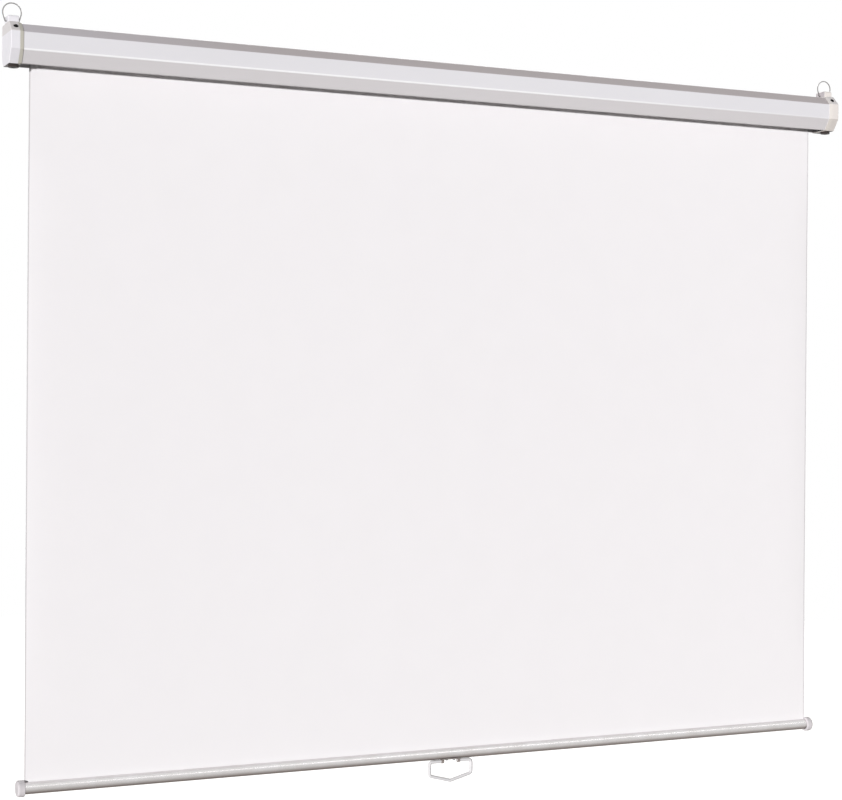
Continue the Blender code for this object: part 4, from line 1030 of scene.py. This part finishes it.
# %% [markdown]
# ## The cloth
#
# The cloth comes off the back of the roller, drops through the slot and ends in the bar's slot. It is drawn
# as one thin closed sheet on a grid. Hung cloth is never quite flat, so it has slow waves of about half a
# millimetre, and its free side edges curl back a little, as coated cloth does. Both fade out at the slot and
# at the bar, which hold it.


# %% Cloth
CLOTH_THICK = 0.0005


def smooth_step(value):
    value = max(0.0, min(1.0, value))
    return value * value * (3 - 2 * value)


def cloth_bow(x, z):
    """How far the cloth stands from its plane, in metres."""
    from_edge = CLOTH_HALF - abs(x - CLOTH_MIDDLE)
    held = smooth_step((CASE_BOTTOM - 0.02 - z) / 0.25) * smooth_step((z - tube_high.z - 0.01) / 0.30)
    curl = 0.0016 * math.exp(-from_edge / 0.022)
    wave = 0.00035 * math.sin(5.3 * x + 1.9 * z) + 0.00025 * math.sin(2.2 * x - 4.1 * z + 1.0)
    return held * (curl + wave)


def hanging_cloth():
    near_edge = [0.0, 0.001, 0.002, 0.005, 0.010, 0.018, 0.030, 0.050, 0.080]
    middle_steps = 40
    inner_half = CLOTH_HALF - near_edge[-1]
    columns = [-CLOTH_HALF + inset for inset in near_edge]
    columns += [-inner_half + 2 * inner_half * step / middle_steps for step in range(1, middle_steps)]
    columns += [-x for x in reversed(columns[:len(near_edge)])]
    rows = 72
    shape = bmesh.new()
    layers = []
    for out in (-CLOTH_THICK / 2, CLOTH_THICK / 2):
        layer = []
        for row in range(rows + 1):
            z = cloth_high.z + (cloth_low.z - cloth_high.z) * row / rows
            row_x = [CLOTH_MIDDLE + x for x in columns]
            layer.append([shape.verts.new((x, CLOTH_Y + out + cloth_bow(x, z), z)) for x in row_x])
        layers.append(layer)
    front, back = layers
    last = len(columns) - 1
    for row in range(rows):
        for col in range(last):
            for layer in layers:
                upper, lower = layer[row], layer[row + 1]
                shape.faces.new((upper[col], upper[col + 1], lower[col + 1], lower[col]))
    rim = [(row, 0) for row in range(rows)] + [(rows, col) for col in range(last)]
    rim += [(row, last) for row in range(rows, 0, -1)] + [(0, col) for col in range(last, 0, -1)]
    for (row, col), (next_row, next_col) in zip(rim, rim[1:] + rim[:1]):
        ahead_of, behind = front[next_row][next_col], back[next_row][next_col]
        shape.faces.new((front[row][col], ahead_of, behind, back[row][col]))
    return as_object("hanging_cloth", shape, cloth_finish, 60)


cloth = hanging_cloth()
hand_over(cloth, "case", "screen_vinyl", "screen_fabric")
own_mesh(cloth)

# %% [markdown]
# ### Turns left on the roller
#
# Even fully down, some cloth stays wound on the roller, so that the pull never reaches the glued edge. It is
# a spiral sheet, two turns of it here, each a cloth's thickness further out than the last.


# %% Turns on the roller
roll_low, roll_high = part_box("fabric_roll")
ROLLER_Y = (roll_low.y + roll_high.y) / 2
ROLLER_Z = (roll_low.z + roll_high.z) / 2
ROLL_RADIUS = (roll_high.z - roll_low.z) / 2
ROLLER_TUBE_RADIUS = 0.0185


def wound_turns():
    inside = ROLLER_TUBE_RADIUS + GAP
    turns, steps = 2, 160
    thick = 0.00029
    outer, inner = [], []
    for step in range(steps + 1):
        angle = math.tau * turns * step / steps
        radius = inside + (ROLL_RADIUS - inside - thick) * step / steps
        for path, at in ((inner, radius), (outer, radius + thick)):
            path.append((ROLLER_Y + at * math.cos(angle), ROLLER_Z + at * math.sin(angle)))
    shape = pulled(inner + outer[::-1], (CLOTH_MIDDLE - CLOTH_HALF, CLOTH_MIDDLE + CLOTH_HALF))
    length = math.tau * turns * (inside + ROLL_RADIUS) / 2
    return as_object("wound_turns", shape, cloth_finish, 60), length


wound, wound_length = wound_turns()
hand_over(wound, "roller", "screen_vinyl", "fabric_roll")

# %% [markdown]
# ## The bottom bar
#
# The bar is a round aluminium tube with a slot along its top. The cloth's lower edge holds a bead too thick
# for the slot. A moulded cap, larger than the tube, plugs each end. Both get many steps round here, because
# a long highlight on a round bar shows every flat.


# %% Bar tube
def slotted_tube():
    half_slot = math.asin(TUBE_SLOT / 2 / TUBE_RADIUS)
    steps = 110
    around = math.tau - 2 * half_slot
    angles = [math.pi / 2 - half_slot - around * step / steps for step in range(steps + 1)]
    outline = round_wall(TUBE_Z, TUBE_RADIUS, TUBE_RADIUS - TUBE_WALL, angles)
    return as_object("bar_tube", pulled(outline, (tube_low.x, tube_high.x)), bar_metal, 40)


def strap_holes():
    rooms = []
    for label, side in SIDES:
        place = Matrix.Translation((side * STRAP_SCREW_X, CLOTH_Y, TUBE_Z))
        down = place @ Matrix.Rotation(math.radians(90), 4, "Y")
        hole = turned([(0.005, 0), (0.005, STRAP_HOLE_RADIUS), (0.02, STRAP_HOLE_RADIUS), (0.02, 0)], 24)
        rooms.append(as_object(f"strap_hole_{label}", placed(hole, down)))
    return rooms


tube = slotted_tube()
holes = strap_holes()
for hole in holes:
    combine(tube, hole)
finish_piece(tube, holes, 40)
hand_over(tube, "bottom_bar", "bar_metal", "bottom_tube")


# %% Bar caps
BAR_CAP_RADIUS, BAR_CAP_LENGTH, BAR_CAP_ROUND, BAR_CAP_SPIGOT = 0.0150, 0.0142, 0.0040, 0.0150


def bar_cap(label, side):
    """A plug with a rounded head, a fine step at its root and a shallow dish in its end."""
    spigot = TUBE_RADIUS - TUBE_WALL - GAP
    neck = 0.9 * BAR_CAP_RADIUS
    profile = [(-BAR_CAP_SPIGOT, 0), (-BAR_CAP_SPIGOT, 0.88 * spigot), (-BAR_CAP_SPIGOT + 0.001, spigot),
               (GAP, spigot), (GAP, neck), (GAP + 0.0004, BAR_CAP_RADIUS - 0.0006),
               (GAP + 0.0009, BAR_CAP_RADIUS - 0.0001), (GAP + 0.0014, BAR_CAP_RADIUS)]
    for angle in quarter_turn(10):
        profile.append((BAR_CAP_LENGTH - BAR_CAP_ROUND + BAR_CAP_ROUND * math.sin(angle),
                        BAR_CAP_RADIUS - BAR_CAP_ROUND + BAR_CAP_ROUND * math.cos(angle)))
    profile += [(BAR_CAP_LENGTH, 0.0070), (BAR_CAP_LENGTH - 0.0003, 0.0066), (BAR_CAP_LENGTH - 0.0003, 0)]
    end_x = tube_low.x if side < 0 else tube_high.x
    place = Matrix.Translation((end_x, CLOTH_Y, TUBE_Z)) @ Matrix.Diagonal((side, 1, 1, 1))
    cap = as_object(f"bar_cap_{label}_head", placed(turned(profile, 72), place), bar_cap_plastic, 30)
    even_normals(cap)
    hand_over(cap, "bottom_bar", "bar_cap_plastic", f"bar_cap_{label}")


for label, side in SIDES:
    bar_cap(label, side)

# %% [markdown]
# ## The handle and its strap
#
# A strap of plastic hugs the underside of the tube, held by two small screws, and has an eye at each end.
# The handle is a five-sided loop of thick rod with its point down. Its ends are thinner and turn in the
# eyes, so the handle can swing.

# %% Strap and handle
STRAP_THICK, STRAP_ARC, STRAP_HALF = 0.0010, math.radians(44), 0.0205
EYE_RADIUS, EYE_LENGTH = 0.0041, 0.0055
EYE_DROP, HANDLE_BEND = 0.0026, 0.0065
HANDLE_Z = TUBE_Z - TUBE_RADIUS - GAP - STRAP_THICK - EYE_DROP
HANDLE_RADIUS, HANDLE_END_RADIUS = 0.0033, 0.0022
HANDLE_HALF, HANDLE_SIDE, HANDLE_APEX = 0.0458, 0.0270, 0.0390


def strap():
    inside = TUBE_RADIUS + GAP
    angles = [-math.pi / 2 - STRAP_ARC + 2 * STRAP_ARC * step / 32 for step in range(33)]
    outline = round_wall(TUBE_Z, inside + STRAP_THICK, inside, angles)
    piece = as_object("handle_strap", pulled(outline, (-STRAP_HALF, STRAP_HALF)), strap_plastic)
    helpers = []
    place = Matrix.Translation((0, CLOTH_Y, HANDLE_Z))
    for label, side in SIDES:
        end, start, soft = STRAP_HALF - 0.0002, STRAP_HALF - 0.0002 - EYE_LENGTH, 0.0005
        profile = [(start, 0), (start, EYE_RADIUS - soft), (start + soft, EYE_RADIUS),
                   (end - soft, EYE_RADIUS), (end, EYE_RADIUS - soft), (end, 0)]
        eye = turned([(side * x, radius) for x, radius in profile], 40)
        helpers.append(as_object(f"eye_{label}", placed(eye, place)))
        combine(piece, helpers[-1], "UNION")
    reach = STRAP_HALF + EYE_LENGTH
    for name, radius, z in (("tube_room", inside, TUBE_Z), ("eye_bore", HANDLE_END_RADIUS + GAP, HANDLE_Z)):
        room = turned([(-reach, 0), (-reach, radius), (reach, radius), (reach, 0)], 96)
        helpers.append(as_object(name, placed(room, Matrix.Translation((0, CLOTH_Y, z)))))
        combine(piece, helpers[-1])
    for hole in strap_holes():
        helpers.append(hole)
        combine(piece, hole)
    finish_piece(piece, helpers)
    hand_over(piece, "bottom_bar", "bar_cap_plastic", "handle_saddle")


strap()
strap_spots = []
for _, side in SIDES:
    head_seat = TUBE_Z - TUBE_RADIUS - 2 * GAP - STRAP_THICK
    place = (side * STRAP_SCREW_X, CLOTH_Y, head_seat)
    strap_spots.append((place, (0, 0, -1), 0.7 + 0.8 * side, STRAP_HEAD_RADIUS))
strap_screws = set_screws("strap_screws", strap_spots, plated_steel)
hand_over(strap_screws, "bottom_bar", "plated_steel", "saddle_screw_left", "saddle_screw_right")
bpy.data.objects.remove(screw_pattern)


def handle_loop():
    shoulder, end = STRAP_HALF + GAP, STRAP_HALF - EYE_LENGTH
    corners = [(-shoulder, 0), (-HANDLE_HALF, 0), (-HANDLE_HALF, -HANDLE_SIDE), (0, -HANDLE_APEX),
               (HANDLE_HALF, -HANDLE_SIDE), (HANDLE_HALF, 0), (shoulder, 0)]
    loop = rounded_path(corners, HANDLE_BEND, 12)
    path = [(-end, 0), (-shoulder + 0.0001, 0)] + loop + [(shoulder - 0.0001, 0), (end, 0)]
    share = HANDLE_END_RADIUS / HANDLE_RADIUS
    thickness = [share, share] + [1.0] * len(loop) + [share, share]
    points = [(x, CLOTH_Y, HANDLE_Z + z) for x, z in path]
    return bent_rod("handle_loop", points, HANDLE_RADIUS, handle_plastic, thickness, 32)


handle = handle_loop()
hand_over(handle, "handle", "white_plastic", "pull_handle")

# %% [markdown]
# ## What works inside the case
#
# The roller, its plugs, the spindle, the spring and the lock keep their CAD meshes. They are seen only
# through the slot or with a cap off, but each still gets the finish of its own material.

# %% Finishes on the CAD nodes
inside = {
    "end_plate_left": plated_steel, "end_plate_right": plated_steel, "roller_tube": plated_steel,
    "drive_plug": nylon, "idler_plug": nylon, "gudgeon_pin": plated_steel, "gudgeon_bush": black_nylon,
    "spring_spindle": dark_steel, "spring_anchor": nylon, "anchor_pin": plated_steel,
    "ratchet_collar": dark_steel, "torsion_spring": spring_steel, "pawl_a": dark_steel, "pawl_b": dark_steel,
    "pawl_pin_a": plated_steel, "pawl_pin_b": plated_steel, "hem_rod": nylon,
}
for name, finish in inside.items():
    mesh = nodes[name].data
    mesh.materials.clear()
    mesh.materials.append(finish)
    for face in mesh.polygons:
        face.material_index = 0
print("dressed", len(inside), "CAD nodes")

# %% [markdown]
# ## Floor, light and background
#
# The floor is a plain pale disc well below the bar. Floor and world are white to the eye and in mirrored
# surfaces, but dim as a lamp, so that the underside of the case stays dark. The bar's darker underside is a
# painted reflection, a tone in its own metal. The key light comes level from the front left, as from a large
# lamp far away. A long high lamp draws the bright line on the bar, and two more light the right end and the
# back.


# %% Floor
FLOOR_Z, FLOOR_RADIUS = -1.85, 7.0


def seen_rays(tree):
    """1 for the rays that show a surface, straight on or in metal or glass, and 0 for its light."""
    rays = tree.nodes.new("ShaderNodeLightPath")
    mirrored = math_node(tree, "MAXIMUM", rays.outputs["Is Glossy Ray"], rays.outputs["Is Transmission Ray"])
    return math_node(tree, "MAXIMUM", rays.outputs["Is Camera Ray"], mirrored)


def pale_floor():
    shape = bmesh.new()
    bmesh.ops.create_circle(shape, cap_ends=True, segments=96, radius=FLOOR_RADIUS)
    bmesh.ops.translate(shape, verts=shape.verts, vec=(0, 0, FLOOR_Z))
    made, tree, shader = start_finish("pale_floor", (0.30, 0.28, 0.26, 1), 0.9)
    glow = tree.nodes.new("ShaderNodeEmission")
    glow.inputs["Color"].default_value = (1, 1, 1, 1)
    add = tree.nodes.new("ShaderNodeAddShader")
    connect(tree, (seen_rays(tree), glow.inputs["Strength"]), (shader.outputs["BSDF"], add.inputs[0]),
            (glow.outputs["Emission"], add.inputs[1]),
            (add.outputs["Shader"], tree.nodes["Material Output"].inputs["Surface"]))
    floor = as_object("floor", shape, made)


pale_floor()

# %% World and lamps
AMBIENT = 0.06

world = bpy.data.worlds.new("white_studio")
bpy.context.scene.world = world
world.use_nodes = True
sky = world.node_tree
backdrop = sky.nodes["Background"]
backdrop.inputs["Color"].default_value = (1, 1, 1, 1)
sky.links.new(math_node(sky, "MAXIMUM", seen_rays(sky), AMBIENT), backdrop.inputs["Strength"])


def lamp_at(lamp, place, aim):
    """Links a lamp that looks from a place at a point."""
    made = linked(lamp.name, lamp)
    toward = (Vector(aim) - Vector(place)).to_track_quat("-Z", "Y").to_matrix().to_4x4()
    made.matrix_world = Matrix.Translation(place) @ toward
    return made


def soft_lamp(name, place, aim, width, height, power, colour=(1, 1, 1)):
    """A soft rectangular lamp."""
    lamp = bpy.data.lights.new(name, "AREA")
    lamp.shape = "RECTANGLE"
    lamp.size, lamp.size_y, lamp.energy, lamp.color = width, height, power, colour
    lamp_at(lamp, place, aim)


far_key = bpy.data.lights.new("far_key", "SUN")
far_key.energy, far_key.angle, far_key.color = 3.92, math.radians(3), (1.0, 0.99, 1.0)
lamp_at(far_key, (-6.95, -7.2, 0.1), (0, 0, 0)).visible_glossy = False
soft_lamp("high_lamp", (2.6, -4.4, 2.6), (0, 0, -1.3), 5.8, 0.4, 15)
soft_lamp("right_lamp", (4.6, -0.7, 0.1), (0.5, 0, -0.4), 1.6, 2.4, 9, (1.0, 0.95, 0.90))
soft_lamp("rear_lamp", (1.2, 3.6, 2.2), (0, 0, -0.5), 3.2, 2.4, 190)
bpy.context.scene.view_settings.view_transform = "Standard"
